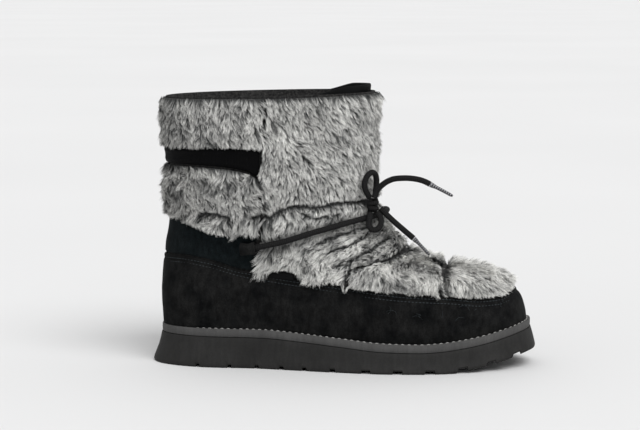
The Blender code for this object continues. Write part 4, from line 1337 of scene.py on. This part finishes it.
def flow_at(points):
    """The way that hair lies at each point, before it is laid along the shell."""
    table = np.array(FLOW)
    off = ((points[:, None, 0] / HALF_SOLE - table[:, 0]) * 1.4) ** 2
    off = off + ((points[:, None, 2] / SHAFT_TALL - table[:, 1]) * 2.2) ** 2
    weight = 1 / (off + 0.0008) ** 1.6
    way = (weight[..., None] * table[None, :, 2:]).sum(1) / weight.sum(1)[:, None]
    way[:, 1] *= np.tanh(points[:, 1] / 6.0)
    return way


def make_pelt(name, node, grid):
    lie, _ = lie_and_shade(grid)
    high = 1.5 + (lie - 1.5) * rolled(from_rim(grid), 4.0)
    dressed(shell_sheet(name, grid, 1.0, high), undercoat, "fur", node)


def cell_areas(grid):
    corner = grid[:-1, :-1]
    return np.linalg.norm(np.cross(grid[1:, :-1] - corner, grid[:-1, 1:] - corner), axis=-1).ravel()


def roots_on(grid, count, chance):
    """Even places on a grid, each with the size of its cell taken into account."""
    area = cell_areas(grid)
    shares = (np.arange(count) + chance.uniform(0, 1, count)) / count
    cells = np.searchsorted(np.cumsum(area), shares * area.sum())
    cells = np.clip(cells, 0, len(area) - 1)
    r, c = np.divmod(cells, grid.shape[1] - 1)
    s, t = chance.uniform(0, 1, (2, count, 1))
    near = grid[r, c] * (1 - t) + grid[r, c + 1] * t
    far = grid[r + 1, c] * (1 - t) + grid[r + 1, c + 1] * t
    return near * (1 - s) + far * s


def laid(points, lift):
    """Points brought to this height over the shell, and the shell's outward way there."""
    points = onto_shell(points, 3)
    way = outward(points)
    return points + way * lift[:, None], way


def hair_mesh(name, root, middle, tip, wide, tones):
    """Hairs of three triangles each, joined in one mesh, with their tones on the points."""
    count = len(root)
    points = np.stack((root - wide, root + wide, middle - wide * 0.8, middle + wide * 0.8, tip), 1)
    points = metres(points.reshape(-1, 3)).astype(np.float32)
    corners = np.array((0, 1, 3, 0, 3, 2, 2, 3, 4))
    corners = (np.arange(count)[:, None] * 5 + corners).astype(np.int32).ravel()
    mesh = bpy.data.meshes.new(name)
    mesh.vertices.add(len(points))
    mesh.vertices.foreach_set("co", points.ravel())
    mesh.loops.add(len(corners))
    mesh.loops.foreach_set("vertex_index", corners)
    mesh.polygons.add(count * 3)
    mesh.polygons.foreach_set("loop_start", np.arange(0, len(corners), 3, dtype=np.int32))
    mesh.update(calc_edges=True)
    mesh.shade_smooth()
    tone = mesh.attributes.new("tone", "FLOAT_COLOR", "POINT")
    shares = np.stack((tones[0], tones[0], tones[1], tones[1], tones[2]), 1).reshape(-1, 1)
    colour = np.array(DARK_TONE) + (np.array(PALE_TONE) - np.array(DARK_TONE)) * shares
    colour = np.concatenate((colour, np.ones((len(colour), 1))), 1).astype(np.float32)
    tone.data.foreach_set("color", colour.ravel())
    return dressed(placed(name, mesh), hair, "fur")


def border_of(grid):
    """Points round a grid's border, each with its way off the grid, along the shell."""
    sides = (grid[0], grid[-1], grid[:, 0], grid[:, -1])
    places = np.concatenate(sides)
    way = places - np.concatenate((grid[1], grid[-2], grid[:, 1], grid[:, -2]))
    along = unit(np.concatenate([np.gradient(line, axis=0) for line in sides]))
    return places, square_to(way, along)


def beyond(points, border):
    """How far each point lies past the border."""
    places, ways = border
    past = np.empty(len(points))
    for k in range(0, len(points), 2000):
        part = points[k : k + 2000]
        off = np.linalg.norm(part[:, None] - places[None], axis=-1)
        near = off.argmin(1)
        past[k : k + 2000] = ((part - places[near]) * ways[near]).sum(1)
    return past


def tufted(points, way):
    """The hairs' way with the tufts' mixed in, how far they may hang, and how much longer they are."""
    hang, longer = np.zeros(len(points)), np.zeros(len(points))
    for along, height, wide, reach, extra, *own in TUFTS:
        off = np.hypot(points[:, 0] - along * HALF_SOLE, points[:, 2] - height * SHAFT_TALL)
        near = np.exp(-((off / wide) ** 2))
        ahead, out, up = own
        side = np.where(points[:, 1] > 0, out, -out)
        own_way = np.stack((np.full(len(points), ahead), side, np.full(len(points), up)), -1)
        way = way * (1 - near[:, None]) + own_way * near[:, None]
        hang = np.maximum(hang, reach * near)
        longer = np.maximum(longer, extra * near)
    return way, hang, longer


def free_share(base, way, long, border, hang):
    """The share of its length that each lock keeps before a deep fold or the border stops it."""
    _, rooted = lie_and_shade(base)
    free = np.ones(len(base))
    for share in (1.0, 0.85, 0.7, 0.55, 0.4, 0.25):
        places = base + way * (long * share)[:, None]
        _, light = lie_and_shade(places)
        stopped = ((light < IN_FOLD) & (rooted >= IN_FOLD)) | (beyond(places, border) > hang)
        free = np.where(stopped, share - 0.08, free)
    return np.where(rooted < IN_FOLD, np.minimum(free, 0.4), free)


def comb(name, grid, border, density, length, rise, paleness_and_painted_light, mottle, stray, over, seed):
    """Locks of hair over a grid: each lock's hairs spread at the root and meet towards the tip."""
    chance = np.random.default_rng(seed)
    thin, thicker = ((1.0, 1.0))
    locks = int(cell_areas(grid).sum() * density * thin / EACH)
    base = roots_on(grid, locks, chance)
    out = outward(base)
    way, hang, longer = tufted(base, flow_at(base))
    way = square_to(way, out)
    across = np.cross(out, way)
    turn = stray * wavy(base, 6, seed + 1) + stray * 0.7 * wavy(base, 2.6, seed + 2)
    turn = turn + chance.normal(0, 0.10 + 0.25 * stray, locks)
    way = way * np.cos(turn)[:, None] + across * np.sin(turn)[:, None]
    long = length * np.clip(chance.normal(1, 0.16, locks) + 0.12 * wavy(base, 9, seed + 3), 0.6, 1.4)
    long = long * (1 + longer)
    long = long * free_share(base, way, long, border, over + hang + chance.uniform(0, 1.4, locks))
    stand = rise * np.clip(chance.normal(1, 0.25, locks) + 0.25 * wavy(base, 6, seed + 4), 0.3, 1.9)
    stand = stand * np.clip(long / length, 0.4, 1)
    # The piece's paleness carries its painted light; mottling and chance vary each lock's tone
    bright = paleness_and_painted_light + mottle * (wavy(base, 9, seed + 5) + 0.6 * wavy(base, 3.5, seed + 6))
    bright = bright + 0.15 * (longer > 0.25) + chance.normal(0, 0.14, locks)
    dull = chance.uniform(0, 1, locks) < 0.20
    bright = np.clip(np.where(dull, bright * 0.28, bright), 0.05, 1.6)

    def spread(values):
        return np.repeat(values, EACH, axis=0)

    count = locks * EACH
    across = np.cross(out, way)
    reach = 0.95 * np.sqrt(chance.uniform(0, 1, count))
    angle = chance.uniform(0, 2 * np.pi, count)
    away = spread(across) * (reach * np.cos(angle))[:, None] + spread(way) * (reach * np.sin(angle))[:, None]
    long = spread(long) * chance.uniform(0.74, 1.10, count)
    stand = spread(stand) * chance.uniform(0.6, 1.3, count)
    start, way = spread(base), spread(way)
    bend = spread(across) * (chance.normal(0, 0.08, count) * long)[:, None]
    root = start + away
    middle = start + away * 0.75 + way * (long * 0.55)[:, None] + bend * 0.3
    tip = start + away * 0.42 + way * (long * 0.95)[:, None] + bend
    rows, outs, lights = [], [], []
    for points, share in ((root, -0.15), (middle, 0.70), (tip, 1.08)):
        lie, light = lie_and_shade(points)
        over_lace = near_lace(points, 4.6) * (points[:, 0] > -62)
        row, normal = laid(points, lie + stand * share * (1 - 0.55 * over_lace))
        rows.append(row)
        outs.append(normal)
        lights.append(light)
    roll = chance.normal(0, 0.45, count)
    side = unit(np.cross(outs[1], way))
    wide = side * np.cos(roll)[:, None] + outs[1] * np.sin(roll)[:, None]
    wide *= (chance.uniform(0.12, 0.20, count) * thicker)[:, None]
    bright = spread(bright) * chance.uniform(0.82, 1.12, count)
    # Root, middle and tip tones are each darkened by the painted fold and trough shade at that point
    tones = [
        np.clip(bright * 0.06 * lights[0], 0, 1),
        np.clip(bright**1.2 * 0.60 * lights[1], 0, 1),
        np.clip(bright * 1.15 * lights[2], 0, 1),
    ]
    hair_mesh(name, *rows, wide, tones)


def halves(grid):
    """The outer and the inner half of a grid that runs over the middle of the boot."""
    middle = grid.shape[1] // 2
    return (("outer", grid[:, : middle + 1]), ("inner", grid[:, middle:]))


def toe_grid(rows, columns):
    toe_line = [seam_mark(x) for x in (0.705, 0.769, 0.826)]
    side_line = [seam_mark(x) for x in (0.523, 0.612, 0.705)]
    start, end = both_sides(TOE_CREASE, (0.544, 0.358)), both_sides(toe_line, (0.861, 0.286))
    return patch(start, end, rows, columns, side_line)


def vamp_grid(rows, columns):
    side_line = [seam_mark(x) for x in (0.504, 0.285, 0.060)]
    crease = moved(TOE_CREASE[:2], -2.7) + moved(TOE_CREASE[2:], -4.0, 0.6)
    start, end = both_sides(crease, (0.516, 0.363)), both_sides(INSTEP_FOLD, (0.349, 0.416))
    return patch(start, end, rows, columns, side_line)


def instep_grid(rows, columns):
    start = both_sides(moved(INSTEP_FOLD, -3.0, 0.8), (0.324, 0.425))
    end = both_sides(INSTEP_REAR, (0.157, 0.588))
    return patch(start, end, rows, columns, INSTEP_FOOT)


def shaft_grid(rows, columns):
    start, end = both_sides(SHAFT_TOP, (0.157, 0.995)), both_sides(ANKLE_CREASE, (0.157, 0.606))
    return patch(start, end, rows, columns, SHAFT_SIDE)


def cuff_grid(rows, columns):
    low, back = moved(HEEL_EDGE, 0.0, 1.6), moved([HEEL_EDGE_BACK], 0.0, 1.6)[0]
    start, end = both_sides(CUFF_TOP, CUFF_TOP_BACK), both_sides(low, back)
    return patch(start, end, rows, columns, CUFF_SIDE)


def collar_grid(rows, columns):
    start, end = both_sides(TRIM_TOP, (-0.932, 0.975)), both_sides(TRIM_FOOT, (-0.929, 0.805))
    return patch(start, end, rows, columns)


# Each fur piece: its grid, then hairs per square millimetre, hair length and rise in millimetres, paleness
# with painted light (toe and vamp painted paler, cuff and collar darker), mottling, stray turns, how far it
# hangs over its edge in millimetres, and seed
FUR = (
    ("fur_toe", toe_grid, 6.4, 8.0, 3.4, 1.42, 0.14, 0.30, 1.2, 301),
    ("fur_vamp", vamp_grid, 6.4, 7.5, 3.2, 1.12, 0.42, 0.45, 1.2, 311),
    ("fur_instep", instep_grid, 5.8, 6.5, 3.0, 0.98, 0.24, 0.40, 0.4, 321),
    ("fur_shaft", shaft_grid, 5.0, 6.2, 2.5, 0.98, 0.13, 0.26, 4.2, 331),
    ("fur_cuff", cuff_grid, 5.6, 6.0, 2.9, 0.84, 0.17, 0.44, 1.3, 341),
    ("fur_collar", collar_grid, 4.0, 6.5, 2.3, 0.84, 0.13, 0.30, 1.5, 351),
)


def make_fur():
    for name, grid_at, *looks, seed in FUR:
        grid = grid_at(56, 140)
        make_pelt(f"{name}_pelt", name, grid_at(36, 90))
        for k, (side, half) in enumerate(halves(grid)):
            comb(f"{name}_hair_{side}", half, border_of(grid), *looks, seed + 30 * k)


make_fur()


# Studio
FLOOR_HALF = 30.0
SKY_STRENGTH = 0.62


def sun_light(name, way, strength, angle):
    """A soft sun from this way, its angle in degrees."""
    light = bpy.data.lights.new(name, "SUN")
    light.energy = strength
    light.angle = np.radians(angle)
    made = placed(name, light)
    turn = np.arctan2(way[0], -way[1])
    made.rotation_euler = (np.arctan2(np.hypot(way[0], way[1]), way[2]), 0.0, turn)


def make_studio():
    floor_paint = Paint("floor_paper", specular=0.2)
    cloud = floor_paint.noise(900, 2.0, 0.5)
    colour = floor_paint.ramp(cloud, (0.3, (0.705, 0.706, 0.708)), (0.7, (0.728, 0.729, 0.731)))
    roughness = floor_paint.ramp(cloud, (0.3, 0.8), (0.7, 0.9))
    paper = floor_paint.shade(colour, roughness, floor_paint.bump(cloud, 0.05, 0.2))
    corners = [(x * FLOOR_HALF, y * FLOOR_HALF, 0) for x, y in ((-1, -1), (1, -1), (1, 1), (-1, 1))]
    mesh = bpy.data.meshes.new("floor")
    mesh.from_pydata(corners, [], [(0, 1, 2, 3)])
    mesh.materials.append(paper)
    placed("floor", mesh)
    world = bpy.data.worlds.new("studio")
    bpy.context.scene.world = world
    world.use_nodes = True
    sky = world.node_tree.nodes["Background"]
    sky.inputs["Color"].default_value = (1.0, 1.0, 1.0, 1)
    sky.inputs["Strength"].default_value = SKY_STRENGTH
    sun_light("key", (0.50, -0.62, 1.00), 2.10, 40)
    sun_light("back", (-0.20, 0.60, 0.90), 0.25, 60)
    bpy.context.scene.view_settings.view_transform = "Standard"


make_studio()
